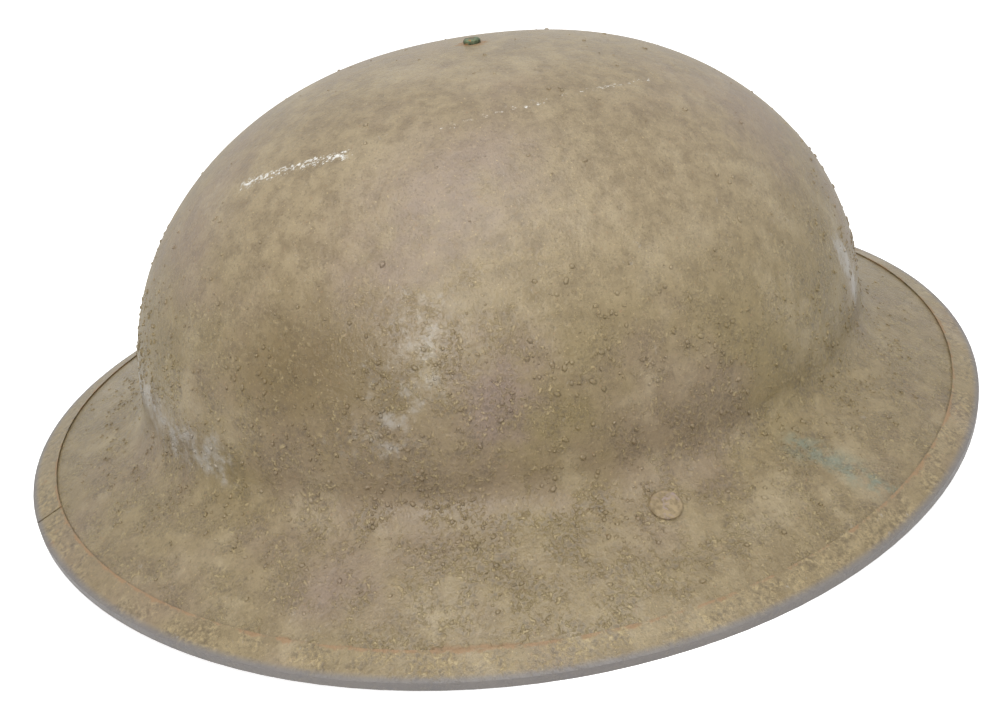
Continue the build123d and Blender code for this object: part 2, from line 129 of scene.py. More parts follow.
def ovalShare(tree, spot, halfWidth, halfLength):  # 1 on the oval, and less inside it
    wide, long = squared(tree, ratio(tree, spot["X"], halfWidth)), squared(tree, ratio(tree, spot["Y"], halfLength))
    return sums(tree, "SQRT", plus(tree, wide, long))


def blendTone(tree, share, first, second):
    made = put(tree, "ShaderNodeMix", data_type="RGBA")
    for index, value in ((0, share), (6, first), (7, second)):
        if isinstance(value, bpy.types.NodeSocket):
            tree.links.new(value, made.inputs[index])
        else:
            made.inputs[index].default_value = value
    return made.outputs[2]


def band(tree, value, low, high):  # smooth step between two levels
    levels = {"Value": value, "From Min": low, "From Max": high}
    return put(tree, "ShaderNodeMapRange", levels, interpolation_type="SMOOTHSTEP").outputs[0]


def cloud(tree, where, scale, detail=3.0, roughness=0.55, distortion=0.0):
    look = {"Vector": where, "Scale": scale, "Detail": detail, "Roughness": roughness, "Distortion": distortion}
    return put(tree, "ShaderNodeTexNoise", look).outputs["Fac"]


def cells(tree, where, scale, feature):
    made = put(tree, "ShaderNodeTexVoronoi", {"Vector": where, "Scale": scale}, feature=feature)
    if feature == "SMOOTH_F1":
        made.inputs["Smoothness"].default_value = 0.3
    return made.outputs["Distance"]


def painted(tree, name):  # a value that the mesh carries at its points
    return put(tree, "ShaderNodeAttribute", attribute_name=name).outputs["Fac"]


def startFinish(name):
    finish = bpy.data.materials.new(name)
    finish.use_nodes = True
    tree = finish.node_tree
    tree.nodes.clear()
    out = put(tree, "ShaderNodeOutputMaterial")
    shader = put(tree, "ShaderNodeBsdfPrincipled")
    tree.links.new(shader.outputs[0], out.inputs["Surface"])
    where = put(tree, "ShaderNodeTexCoord").outputs["Object"]
    return finish, tree, shader, where


def raised(tree, shader, height, depth):  # height in units of depth, which is in metres
    bump = put(tree, "ShaderNodeBump", {"Height": height, "Distance": depth, "Strength": 1.0})
    tree.links.new(bump.outputs[0], shader.inputs["Normal"])


def wire(tree, value, socket):
    tree.links.new(value, socket)


def newMesh(name, points, faces, finish):
    mesh = bpy.data.meshes.new(name)
    mesh.from_pydata([tuple(p) for p in points], [], faces)
    mesh.validate()
    mesh.update()
    mesh.materials.append(finish)
    mesh.polygons.foreach_set("use_smooth", [True] * len(mesh.polygons))
    made = bpy.data.objects.new(name, mesh)
    scene.collection.objects.link(made)
    return made


def startTree(name, sockets):
    tree = bpy.data.node_groups.new(name, "GeometryNodeTree")
    tree.interface.new_socket(name="Geometry", in_out="INPUT", socket_type="NodeSocketGeometry")
    for label, kind in sockets:
        tree.interface.new_socket(name=label, in_out="INPUT", socket_type="NodeSocket" + kind)
    tree.interface.new_socket(name="Geometry", in_out="OUTPUT", socket_type="NodeSocketGeometry")
    return tree, put(tree, "NodeGroupInput").outputs, put(tree, "NodeGroupOutput")


def runTree(holder, tree, values, name, extra=None):  # the tree's result as a plain mesh, with the holder gone
    modifier = holder.modifiers.new("nodes", "NODES")
    modifier.node_group = tree
    for item in tree.interface.items_tree:
        if item.in_out == "INPUT" and item.name in values:
            modifier[item.identifier] = values[item.name]
    if extra:
        extra(holder)
    graph = bpy.context.evaluated_depsgraph_get()
    mesh = bpy.data.meshes.new_from_object(holder.evaluated_get(graph), depsgraph=graph)
    bpy.data.objects.remove(holder)
    mesh.name = name
    made = bpy.data.objects.new(name, mesh)
    scene.collection.objects.link(made)
    return made


def here(tree):
    return put(tree, "GeometryNodeInputPosition").outputs[0]


def ripple(tree, scale, detail, result=0, seed=None, where=None):  # noise over a piece: 0 its level, 1 its colour
    look = {"Vector": where or here(tree), "Scale": scale, "Detail": detail}
    if seed is None:
        return put(tree, "ShaderNodeTexNoise", look).outputs[result]
    return put(tree, "ShaderNodeTexNoise", {**look, "W": seed}, noise_dimensions="4D").outputs[result]


def circle(tree, resolution, radius):
    return put(tree, "GeometryNodeCurvePrimitiveCircle", {"Resolution": resolution, "Radius": radius}).outputs[0]


def swept(tree, path, cut, capped=False):
    return put(tree, "GeometryNodeCurveToMesh", {0: path, 1: cut, "Fill Caps": capped}).outputs[0]


def onEachPoint(tree, points, piece):  # a copy of the piece at each point, turned as the point says
    turns = put(tree, "GeometryNodeInputNamedAttribute", {"Name": "turn"}, data_type="FLOAT_VECTOR").outputs[0]
    return put(tree, "GeometryNodeInstanceOnPoints", {0: points, "Instance": piece, "Rotation": turns}).outputs[0]


def outwardsBy(tree, amount):
    return scaled(tree, put(tree, "GeometryNodeInputNormal").outputs[0], amount)


def nudged(tree, shape, offset):
    return put(tree, "GeometryNodeSetPosition", {"Geometry": shape, "Offset": offset}).outputs[0]


def realized(tree, shape):
    return put(tree, "GeometryNodeRealizeInstances", {0: shape}).outputs[0]


def endTree(tree, out, shape, finish):  # every tree ends as one smooth mesh in its finish
    smooth = put(tree, "GeometryNodeSetShadeSmooth", {0: realized(tree, shape)}).outputs[0]
    dressed = put(tree, "GeometryNodeSetMaterial", {"Geometry": smooth, "Material": finish})
    wire(tree, dressed.outputs[0], out.inputs[0])


def dress(piece, nodes=(), body="root"):  # what a finished piece rides on and stands for
    if body:
        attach(piece, body)
    if nodes:
        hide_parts(*nodes)


# camera, floor and light
view = {
    "azimuth": 71.15, "elevation": 26.159, "roll": -7.156, "distance": 0.36182,
    "aside": 0.003481, "above": -0.027493, "target": 0.041, "lens": 39.88,
}
azimuth, elevation, roll = (math.radians(view[k]) for k in ("azimuth", "elevation", "roll"))
level = Vector((math.cos(azimuth), math.sin(azimuth), 0))
backwards = Vector((math.sin(azimuth), -math.cos(azimuth), 0)) * math.cos(elevation)
backwards.z = math.sin(elevation)
upwards = backwards.cross(level)
across = math.cos(roll) * level + math.sin(roll) * upwards
rising = -math.sin(roll) * level + math.cos(roll) * upwards
place = Vector((0, 0, view["target"])) + view["aside"] * across + view["above"] * rising + view["distance"] * backwards
camera = bpy.data.objects.new("camera", bpy.data.cameras.new("camera"))
camera.data.lens = view["lens"]
camera.data.sensor_width = 36
camera.data.clip_start = 0.01
turn = Matrix((across, rising, backwards)).transposed().to_4x4()
camera.matrix_world = Matrix.Translation(place) @ turn
scene.collection.objects.link(camera)
scene.camera = camera

lighting = {
    "sky": 0.48, "floorGlow": 0.62, "floorTone": 0.9, "floorHalf": 6.0,
    "lamps": [  # name, place, aim, size, watts
        ("overheadLamp", (0.32, -0.10, 1.25), (0.03, 0.0, 0.05), 0.9, 9.3),
        ("windowLamp", (0.787, -0.511, 0.60), (0.05, -0.02, 0.05), 0.2, 5.0),
        ("rightLamp", (0.9, 0.75, 0.7), (0.05, 0.0, 0.05), 0.8, 1.8),
    ],
}


def makeFloor():
    finish, tree, shader, _ = startFinish("paleFloor")
    ground, half = lighting["floorTone"], lighting["floorHalf"]
    shader.inputs["Roughness"].default_value = 0.9
    shader.inputs["Specular IOR Level"].default_value = 0.1
    shader.inputs["Base Color"].default_value = (ground, ground, ground, 1)
    ray = put(tree, "ShaderNodeLightPath")
    glow = put(tree, "ShaderNodeEmission", {"Color": (1, 1, 1, 1), "Strength": lighting["floorGlow"]})
    dark = put(tree, "ShaderNodeEmission", {"Color": (0, 0, 0, 1), "Strength": 0.0})
    seen = put(tree, "ShaderNodeMixShader", {0: ray.outputs["Is Camera Ray"], 1: dark.outputs[0], 2: glow.outputs[0]})
    both = put(tree, "ShaderNodeAddShader", {0: shader.outputs[0], 1: seen.outputs[0]})
    out = next(n for n in tree.nodes if n.type == "OUTPUT_MATERIAL")
    wire(tree, both.outputs[0], out.inputs["Surface"])
    corners = [(-half, -half, 0), (half, -half, 0), (half, half, 0), (-half, half, 0)]
    newMesh("floor", corners, [(0, 1, 2, 3)], finish)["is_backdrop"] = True


def makeWorld():
    world = bpy.data.worlds.new("studio")
    scene.world = world
    world.use_nodes = True
    tree = world.node_tree
    tree.nodes.clear()
    out = put(tree, "ShaderNodeOutputWorld")
    ray = put(tree, "ShaderNodeLightPath").outputs
    seen = plus(tree, ray["Is Camera Ray"], ray["Is Transmission Ray"])
    seen = sums(tree, "ADD", seen, ray["Is Glossy Ray"], use_clamp=True)
    plain = put(tree, "ShaderNodeBackground", {"Color": (1, 1, 1, 1), "Strength": lighting["sky"]})
    shown = put(tree, "ShaderNodeBackground", {"Color": (1, 1, 1, 1), "Strength": 1.0})
    mixed = put(tree, "ShaderNodeMixShader", {0: seen, 1: plain.outputs[0], 2: shown.outputs[0]})
    wire(tree, mixed.outputs[0], out.inputs["Surface"])


def makeLamps():
    for name, where, aim, size, watts in lighting["lamps"]:
        lamp = bpy.data.objects.new(name, bpy.data.lights.new(name, "AREA"))
        lamp.data.shape = "DISK"
        lamp.data.size = size
        lamp.data.energy = watts
        lamp.location = where
        lamp.rotation_mode = "QUATERNION"
        lamp.rotation_quaternion = (Vector(aim) - Vector(where)).to_track_quat("-Z", "Y")
        scene.collection.objects.link(lamp)


makeFloor()
makeWorld()
makeLamps()
print("camera, floor and light are set")

# finishes
paintTones = {
    # the olive tone is partly painted shade, laid low on the bowl
    "deep": (118, 103, 78), "middle": (141, 126, 98), "oliveAndLowShade": (116, 101, 60), "mauve": (121, 103, 93),
    "dusty": (164, 150, 122), "gold": (97, 80, 46), "speckDark": (72, 61, 45), "speckPale": (182, 163, 120),
    # the bare grey also paints a sheen on the front of the bowl
    "bareAndSheen": (158, 154, 148), "rust": (138, 110, 80), "chalk": (210, 208, 202), "green": (92, 114, 106),
    "inside": (98, 88, 66), "edgeSteel": (104, 102, 104),
}
paintScales = {  # how finely each pattern repeats, per metre
    "broad": 17, "blotch": 52, "clusters": 105, "mottle": 190, "chips": 300, "fine": 760, "flecks": 980,
    "streaks": 1000, "dots": 1500,
}
paintShares = {  # how far each layer covers what is under it
    "mauve": 0.4, "dusty": 0.42, "paleGrains": 0.4, "darkGrains": 0.55, "darkDots": 0.3, "paleDots": 0.55,
    "wornAndSheen": 0.75, "rustLine": 0.21, "rust": 0.8, "flecks": 0.5, "edge": 0.8, "inside": 0.75, "scuff": 0.62,
}
paintRelief = {  # how high each pattern stands, in depths
    "depth": 1.0 * mm, "grains": 0.23, "mottle": 0.45, "fine": 0.1, "dots": 0.035, "chips": -0.06, "rusty": 0.06,
}
rimOval = {"halfWidth": 0.1465, "halfLength": 0.1525, "innerEdge": 0.9487}


def khakiPaint(name, gritty, onShell, bareShare=0.3, onRim=False):
    # worn khaki paint over steel, with sawdust grit in it
    finish, tree, shader, where = startFinish(name)
    scales, shares = paintScales, paintShares
    marks = ("grit", "scuff", "rust", "wornAndSheen", "gold", "green", "inside", "mauve") if onShell else ()
    layers = {n: painted(tree, n) for n in marks}
    spot = split(tree, where)
    outwards = ovalShare(tree, spot, rimOval["halfWidth"], rimOval["halfLength"])
    aside = vectorSums(tree, "ADD", where, (0.37, 0.11, 0.53))
    broad = cloud(tree, where, scales["broad"], 4, 0.6)
    blotch = cloud(tree, aside, scales["blotch"], 5, 0.68)
    mottle = cloud(tree, where, scales["mottle"], 5, 0.7)
    fine = cloud(tree, aside, scales["fine"], 4, 0.7)
    dots = cloud(tree, where, scales["dots"], 2, 0.6)
    flecks = cloud(tree, aside, scales["flecks"], 2, 0.6)

    def over(colour, share, toneName):
        return blendTone(tree, share, colour, tone(*paintTones[toneName]))

    def step(value, low, high, share):
        return times(tree, band(tree, value, low, high), share)

    colour = blendTone(tree, band(tree, mottle, 0.34, 0.66), tone(*paintTones["deep"]), tone(*paintTones["middle"]))
    # olive, partly the paint's own tone and partly painted shade, low on the bowl and on the brim's inner half; mauve
    # and dusty clouds everywhere
    oliveAndLowShade = sums(tree, "MULTIPLY_ADD", band(tree, outwards, 0.8, 0.7), 0.4, 0.32)
    colour = over(colour, step(spot["Z"], 0.09, 0.036, oliveAndLowShade), "oliveAndLowShade")
    colour = over(colour, step(broad, 0.46, 0.66, shares["mauve"]), "mauve")
    colour = over(colour, step(blotch, 0.48, 0.7, shares["dusty"]), "dusty")
    if onShell:
        colour = over(colour, step(blotch, 0.3, 0.62, layers["mauve"]), "mauve")
        colour = over(colour, step(broad, 0.3, 0.55, layers["gold"]), "gold")
        colour = over(colour, step(mottle, 0.38, 0.6, layers["green"]), "green")
    # grit: pale grains and dark hollows in clusters, with smaller dots everywhere
    clusters = step(cloud(tree, where, scales["clusters"], 4, 0.65), 0.42, 0.56, 0.85)
    clusters = plus(tree, clusters, 0.15)
    if onShell:
        clusters = times(tree, clusters, layers["grit"])
    grains, hollows = step(fine, 0.5, 0.64, clusters), step(fine, 0.5, 0.38, clusters)
    colour = over(colour, times(tree, grains, shares["paleGrains"]), "speckPale")
    colour = over(colour, times(tree, hollows, shares["darkGrains"]), "speckDark")
    colour = over(colour, step(dots, 0.42, 0.34, shares["darkDots"]), "speckDark")
    colour = over(colour, step(dots, 0.66, 0.74, shares["paleDots"]), "speckPale")
    # chips and wear down to the steel, with the same pale grey also painted as a sheen on the front of the bowl, then
    # rust
    chips = step(cloud(tree, aside, scales["chips"], 5, 0.78, 0.4), 0.64, 0.7, bareShare)
    if onShell:
        wornAndSheen = plus(tree, times(tree, layers["wornAndSheen"], 0.55), times(tree, mottle, 0.8))
        chips = sums(tree, "MAXIMUM", chips, step(wornAndSheen, 0.66, 0.92, shares["wornAndSheen"]))
    colour = over(colour, chips, "bareAndSheen")
    fromEdge = sums(tree, "ABSOLUTE", minus(tree, outwards, rimOval["innerEdge"]))
    rusty = plus(tree, mottle, step(fromEdge, 0.011, 0.002, shares["rustLine"]))
    if onShell:
        rusty = plus(tree, rusty, layers["rust"])
    if onRim:
        rusty = plus(tree, rusty, times(tree, broad, 0.5))
    rusty = step(rusty, 0.86, 1.0 if onRim else 1.12, shares["rust"])
    colour = over(colour, rusty, "rust")
    colour = over(colour, step(flecks, 0.66, 0.74, shares["flecks"]), "rust")
    if onRim:
        colour = over(colour, step(outwards, 0.985, 0.999, shares["edge"]), "edgeSteel")
    if onShell:
        colour = over(colour, times(tree, layers["inside"], shares["inside"]), "inside")
        streaks = cloud(tree, vectorSums(tree, "MULTIPLY", where, (1, 0.6, 1)), scales["streaks"], 4, 0.8)
        scuffed = plus(tree, times(tree, layers["scuff"], shares["scuff"]), streaks)
        colour = over(colour, band(tree, scuffed, 0.96, 1.06), "chalk")
    wire(tree, colour, shader.inputs["Base Color"])
    rough = plus(tree, times(tree, mottle, 0.3), times(tree, rusty, 0.25))
    rough = minus(tree, plus(tree, rough, 0.25), times(tree, chips, 0.1))
    wire(tree, rough, shader.inputs["Roughness"])
    height = times(tree, grains, paintRelief["grains"] * gritty)
    for part, pattern in (("mottle", mottle), ("fine", fine), ("dots", dots), ("chips", chips), ("rusty", rusty)):
        height = plus(tree, height, times(tree, pattern, paintRelief[part]))
    raised(tree, shader, height, paintRelief["depth"])
    return finish


def plainMetal(name, light, dark, rough, metallic, spots, scale=400):
    finish, tree, shader, where = startFinish(name)
    mottle = cloud(tree, where, scale, 5, 0.65)
    fine = cloud(tree, where, scale * 4, 3, 0.6)
    spotted = band(tree, cloud(tree, where, scale * 0.8, 5, 0.75, 0.5), 0.52, 0.62)
    colour = blendTone(tree, band(tree, mottle, 0.35, 0.65), tone(*dark), tone(*light))
    wire(tree, blendTone(tree, spotted, colour, tone(*spots)), shader.inputs["Base Color"])
    wire(tree, times(tree, minus(tree, 1.0, spotted), metallic), shader.inputs["Metallic"])
    wire(tree, plus(tree, times(tree, mottle, 0.3), rough), shader.inputs["Roughness"])
    raised(tree, shader, plus(tree, mottle, times(tree, fine, 0.3)), 0.12 * mm)
    return finish


def hide(name, light, dark, rough, grain, creases):
    # leather or oilcloth: fine pebbled grain, wider creases and rubbed high spots
    finish, tree, shader, where = startFinish(name)
    pebbles = cells(tree, where, grain, "SMOOTH_F1")
    patches = cloud(tree, where, 90, 4, 0.6)
    lines = cells(tree, vectorSums(tree, "MULTIPLY", where, (1, 1, 1.6)), grain * 0.22, "DISTANCE_TO_EDGE")
    creased = times(tree, band(tree, lines, 0.06, 0.0), creases)
    colour = blendTone(tree, band(tree, patches, 0.3, 0.7), tone(*dark), tone(*light))
    colour = blendTone(tree, creased, colour, tone(*(c * 0.6 for c in dark)))
    wire(tree, colour, shader.inputs["Base Color"])
    wire(tree, plus(tree, times(tree, patches, 0.25), rough), shader.inputs["Roughness"])
    raised(tree, shader, minus(tree, times(tree, pebbles, 0.5), creased), 0.15 * mm)
    return finish


def fibrous(name, light, dark, rough, scale, depth):
    finish, tree, shader, where = startFinish(name)
    fuzz = cloud(tree, where, scale, 6, 0.8, 0.6)
    patches = cloud(tree, where, scale * 0.08, 3)
    colour = blendTone(tree, band(tree, fuzz, 0.35, 0.65), tone(*dark), tone(*light))
    colour = blendTone(tree, times(tree, patches, 0.4), colour, tone(*dark))
    wire(tree, colour, shader.inputs["Base Color"])
    wire(tree, plus(tree, times(tree, fuzz, 0.2), rough), shader.inputs["Roughness"])
    shader.inputs["Sheen Weight"].default_value = 0.25
    raised(tree, shader, fuzz, depth)
    return finish


shellFinish = khakiPaint("shellPaint", 1.0, True)
rimFinish = khakiPaint("rimPaint", 0.3, False, 0.55, True)
crownFinish = plainMetal("crownMetal", (110, 124, 96), (58, 66, 46), 0.45, 0.5, (150, 98, 50))
rivetFinish = plainMetal("rivetPaint", (146, 129, 98), (112, 96, 69), 0.36, 0.1, (136, 120, 114), 560)
darkSteel = plainMetal("darkSteel", (120, 114, 106), (66, 60, 54), 0.3, 0.75, (112, 76, 48))
dullSteel = plainMetal("dullSteel", (150, 146, 140), (96, 92, 86), 0.3, 0.8, (120, 86, 58))
dullBrass = plainMetal("dullBrass", (178, 148, 86), (112, 88, 46), 0.28, 0.85, (86, 84, 52))
feltFinish = fibrous("greyFelt", (142, 134, 118), (96, 88, 74), 0.75, 1800, 0.4 * mm)
twineFinish = fibrous("tarredTwine", (150, 134, 100), (92, 78, 52), 0.7, 2600, 0.2 * mm)
threadFinish = fibrous("waxedThread", (176, 160, 124), (116, 100, 70), 0.6, 3000, 0.1 * mm)
oilcloth = hide("oilcloth", (62, 54, 46), (30, 26, 22), 0.28, 1700, 0.7)
hoopHide = hide("hoopOilcloth", (56, 50, 42), (26, 23, 20), 0.36, 1500, 0.4)
strapHide = hide("strapLeather", (112, 72, 42), (66, 40, 22), 0.36, 1300, 0.35)
patchHide = hide("patchLeather", (104, 66, 40), (58, 36, 20), 0.42, 1200, 0.4)
rubberFinish = hide("perishedRubber", (92, 72, 60), (54, 42, 36), 0.55, 900, 0.6)
print("finishes are made")

for finish, names in (
    (shellFinish, ["shell"]), (rimFinish, ["rim_strip"]), (crownFinish, ["crown_rivet"]),
    (rivetFinish, ["bail_rivet_right", "bail_rivet_left"]), (dullSteel, ["crown_washer", "cushion_rivets"]),
    (darkSteel, ["bail_lug_right", "bail_lug_left", "bail_right", "bail_left"]),
    (dullBrass, ["buckle_frame", "buckle_tongue"]), (feltFinish, ["crown_pad"]), (twineFinish, ["liner_net"]),
    (oilcloth, ["head_band"]), (hoopHide, ["liner_hoop"]), (patchHide, ["crown_patch"]),
    (strapHide, ["chin_strap_short", "chin_strap_long", "strap_keeper"]),
    (rubberFinish, [f"cushion_{n:02d}" for n in range(1, 13)]),
):
    for name in names:
        for held in cadNodes[name].material_slots:
            held.material = finish

# the shell, spun from its outline
shellSizes = {
    "length": 0.305, "width": 0.293, "height": 0.114, "bowlLength": 0.23729, "bowlWidth": 0.205686, "setBack": 0.0036,
    "crownRadius": 0.151179, "shoulderRadius": 0.090708, "filletRadius": 0.0107, "brimSlope": math.radians(22.3),
    "sheet": 0.001, "rimSheet": 0.0005, "rimGap": 0.00005, "turns": 380, "bowlRows": 96, "brimRows": 26,
    "dent": 0.0006, "seed": 4.0, "outlineStep": 0.0009,
}
bowlOval = shellSizes["bowlLength"] / shellSizes["bowlWidth"]


def flat(x, z):
    return Vector((x, z))


def bowlOutline():
    # points down the bowl's outside, from the crown to where the brim starts
    s = shellSizes
    slope = s["brimSlope"]
    down, off = flat(math.cos(slope), -math.sin(slope)), flat(math.sin(slope), math.cos(slope))
    edge = flat(s["width"] / 2, (s["sheet"] + s["rimSheet"] + s["rimGap"]) / math.cos(slope))
    crown = flat(0, s["height"] - s["crownRadius"])
    aside = s["bowlWidth"] / 2 - s["shoulderRadius"]
    shoulder = crown + flat(aside, math.sqrt((s["crownRadius"] - s["shoulderRadius"]) ** 2 - aside ** 2))
    brim = edge + off * s["filletRadius"]
    along = (brim - shoulder).dot(down)
    apart = (brim - shoulder).length_squared - (s["shoulderRadius"] + s["filletRadius"]) ** 2
    fillet = brim - down * (along - math.sqrt(along ** 2 - apart))
    second = math.atan2(*(shoulder - crown).yx)
    third = math.atan2(*(fillet - shoulder).yx)
    turnOut = math.atan2(-off.y, -off.x) % (2 * math.pi)
    points = []
    for centre, radius, start, stop in (
        (crown, s["crownRadius"], math.pi / 2, second), (shoulder, s["shoulderRadius"], second, third),
        (fillet, s["filletRadius"], (third + math.pi) % (2 * math.pi), turnOut),
    ):
        steps = max(2, int(abs(stop - start) * radius / s["outlineStep"]))
        for n in range(steps):
            angle = start + (stop - start) * n / steps
            points.append(centre + radius * flat(math.cos(angle), math.sin(angle)))
    points.append(fillet - off * s["filletRadius"])
    return points


def spinTree():
    # spins the outline to an oval bowl and draws its foot out to the rim's oval
    tree, given, out = startTree("spinShell", [
        ("Turns", "Int"), ("Bowl rows", "Int"), ("Brim rows", "Int"), ("Oval", "Float"), ("Half width", "Float"),
        ("Half length", "Float"), ("Set back", "Float"), ("Brim fall", "Float"), ("Brim start", "Float"),
        ("Dent", "Float"), ("Seed", "Float"), ("Paint", "Material"),
    ])
    bowlRows, halfWidth, halfLength = given["Bowl rows"], given["Half width"], given["Half length"]
    rows = plus(tree, bowlRows, given["Brim rows"])
    grid = put(tree, "GeometryNodeMeshGrid", {
        "Size X": 1.0, "Size Y": 1.0, "Vertices X": plus(tree, given["Turns"], 1), "Vertices Y": plus(tree, rows, 1),
    })
    spot = split(tree, here(tree))
    angle = times(tree, plus(tree, spot["X"], 0.5), 2 * math.pi)
    row = times(tree, plus(tree, spot["Y"], 0.5), rows)
    onBowl = sums(tree, "DIVIDE", row, bowlRows, use_clamp=True)
    outwards = sums(tree, "MAXIMUM", ratio(tree, minus(tree, row, bowlRows), given["Brim rows"]), 0.0)
    outline = {"Curves": given["Geometry"], "Factor": onBowl}
    sample = put(tree, "GeometryNodeSampleCurve", outline, mode="FACTOR", use_all_curves=True)
    bowl = split(tree, sample.outputs["Position"])
    cosine = sums(tree, "COSINE", angle)
    sine = times(tree, sums(tree, "SINE", angle), given["Oval"])
    # the rim's oval is centred ahead of the bowl's axis, so its reach solves a quadratic
    shift = ratio(tree, given["Set back"], halfLength)
    both = plus(tree, squared(tree, ratio(tree, cosine, halfWidth)), squared(tree, ratio(tree, sine, halfLength)))
    mixed = times(tree, ratio(tree, sine, halfLength), shift)
    rest = minus(tree, 1.0, times(tree, shift, shift))
    root = sums(tree, "SQRT", plus(tree, times(tree, mixed, mixed), times(tree, both, rest)))
    limit = ratio(tree, minus(tree, root, mixed), both)
    grown = times(tree, minus(tree, limit, given["Brim start"]), outwards)
    radius = plus(tree, bowl["X"], grown)
    height = minus(tree, bowl["Z"], times(tree, grown, given["Brim fall"]))
    behind = plus(tree, times(tree, radius, sine), given["Set back"])
    placeAt = vectorOf(tree, times(tree, radius, cosine), behind, height)
    spun = put(tree, "GeometryNodeSetPosition", {"Geometry": grid.outputs["Mesh"], "Position": placeAt})
    joined = put(tree, "GeometryNodeMergeByDistance", {"Geometry": spun.outputs[0], "Distance": 1e-5})
    turned = put(tree, "GeometryNodeFlipFaces", {0: joined.outputs[0]})
    # shallow dents, none near the rim or under the crown rivet
    at = vectorSums(tree, "ADD", here(tree), (0.3, 0.7, 0.1))
    waves = ripple(tree, 16.0, 2.0, seed=given["Seed"], where=at)
    plan = ovalShare(tree, split(tree, here(tree)), halfWidth, halfLength)
    calm = times(tree, band(tree, plan, 0.93, 0.76), band(tree, plan, 0.04, 0.2))
    push = times(tree, times(tree, minus(tree, waves, 0.5), given["Dent"]), calm)
    endTree(tree, out, nudged(tree, turned.outputs[0], outwardsBy(tree, push)), given["Paint"])
    return tree


def makeShell():
    s = shellSizes
    outline = bowlOutline()
    curve = bpy.data.curves.new("shellOutline", "CURVE")
    curve.dimensions = "3D"
    line = curve.splines.new("POLY")
    line.points.add(len(outline) - 1)
    for point, at in zip(line.points, outline):
        point.co = (at.x, 0, at.y, 1)
    holder = bpy.data.objects.new("shellOutline", curve)
    scene.collection.objects.link(holder)
    fold = s["rimSheet"] + s["rimGap"]

    def thicken(made):
        sheet = made.modifiers.new("sheet", "SOLIDIFY")
        sheet.thickness = s["sheet"]
        sheet.offset = -1
        sheet.use_even_offset = True

    return runTree(holder, spinTree(), {
        "Turns": s["turns"], "Bowl rows": s["bowlRows"], "Brim rows": s["brimRows"], "Oval": bowlOval,
        "Half width": s["width"] / 2 - fold, "Half length": s["length"] / 2 - fold, "Set back": s["setBack"],
        "Brim fall": math.tan(s["brimSlope"]), "Brim start": outline[-1].x, "Dent": s["dent"], "Seed": s["seed"],
        "Paint": shellFinish,
    }, "pressedShell", thicken)


pressedShell = makeShell()
print("shell", len(pressedShell.data.polygons), [round(c, 4) for c in pressedShell.dimensions])

# where the paint is worn, scuffed, rusted or gritty, and where a painted sheen lies on the bowl's front: points, reach
# and strength
paintMarks = {
    "scuff": [
        ([(0.0203, -0.0734, 0.0921), (0.0386, -0.0487, 0.0994)], 0.0062, 0.84),
        ([(0.0472, -0.0247, 0.1029), (0.0489, 0.0003, 0.1049), (0.0455, 0.0287, 0.1043)], 0.004, 0.72),
        ([(0.0472, 0.0003, 0.1049), (0.0460, 0.0250, 0.1043)], 0.0024, 0.85),
        ([(0.0455, 0.0287, 0.1043), (0.0426, 0.0396, 0.1031)], 0.0034, 0.74),
        ([(0.0646, -0.0159, 0.0944), (0.0724, -0.0144, 0.0882)], 0.0012, 0.62),
        ([(0.0558, -0.0944, 0.0364), (0.0679, -0.0848, 0.0305)], 0.0009, 0.62),
        ([(0.083, -0.0638, 0.0374), (0.0833, -0.0648, 0.032)], 0.0009, 0.62),
        ([(0.092, -0.0969, 0.0098), (0.092, -0.0969, 0.0098)], 0.0011, 1.3),
    ],
    "rust": [
        ([(0.1034, -0.101, 0.0053), (0.1085, -0.095, 0.0051)], 0.006, 0.75),
        ([(0.114, -0.0855, 0.0053), (0.1163, -0.0838, 0.0048)], 0.005, 0.6),
        ([(0.1388, 0.0301, 0.004), (0.1377, 0.0458, 0.0033)], 0.006, 0.55),
        ([(0.1235, -0.0654, 0.0055), (0.1317, -0.049, 0.0046)], 0.005, 0.45),
        ([(0, 0.0036, 0.114), (0, 0.0036, 0.114)], 0.009, 0.9),
    ],
    "wornAndSheen": [
        ([(0.0017, -0.1138, 0.036), (0.0349, -0.1075, 0.03), (0.0508, -0.0992, 0.0292)], 0.02, 0.7),
        ([(0.0675, 0.0919, 0.034), (0.069, 0.0849, 0.0492)], 0.014, 0.8),
        # a painted sheen on the front of the bowl, not wear
        ([(0.082, -0.0449, 0.0647), (0.083, -0.0638, 0.0374)], 0.03, 0.55),
    ],
    "mauve": [
        ([(0.0905, -0.031, 0.052), (0.094, -0.033, 0.042)], 0.02, 0.9),
        ([(0.070, -0.052, 0.079), (0.060, -0.020, 0.097)], 0.03, 0.55),
        ([(0.101, -0.078, 0.012), (0.098, -0.086, 0.012)], 0.014, 0.6),
    ],
    "gold": [([(0.0653, -0.0778, 0.0562), (0.074, -0.062, 0.058)], 0.026, 0.8)],
    "green": [([(0.107, 0.0441, 0.0156), (0.1162, 0.0516, 0.0111), (0.1255, 0.0587, 0.0067)], 0.008, 0.6)],
}
gritReach = {  # where grit lies: heights in metres, and shares of the way out to the rim
    "top": 0.085, "fade": 0.04, "least": 0.18, "insideShare": 0.35, "lumpTop": 0.074, "lumpFade": 0.03,
    "lumpLeast": 0.04, "brimFrom": 0.80, "brimFade": 0.08, "brimLoss": 0.82, "edge": 0.925,
}


def nearness(points, line, reach):
    # 1 on the line, falling smoothly to 0 at its reach
    closest = np.full(len(points), 1e9)
    for first, second in zip(line[:-1], line[1:]):
        start, run = np.array(first), np.array(second) - np.array(first)
        along = np.clip(((points - start) @ run) / max(run @ run, 1e-12), 0, 1)
        closest = np.minimum(closest, np.linalg.norm(points - start - along[:, None] * run, axis=1))
    share = np.clip(1 - closest / reach, 0, 1)
    return share * share * (3 - 2 * share)


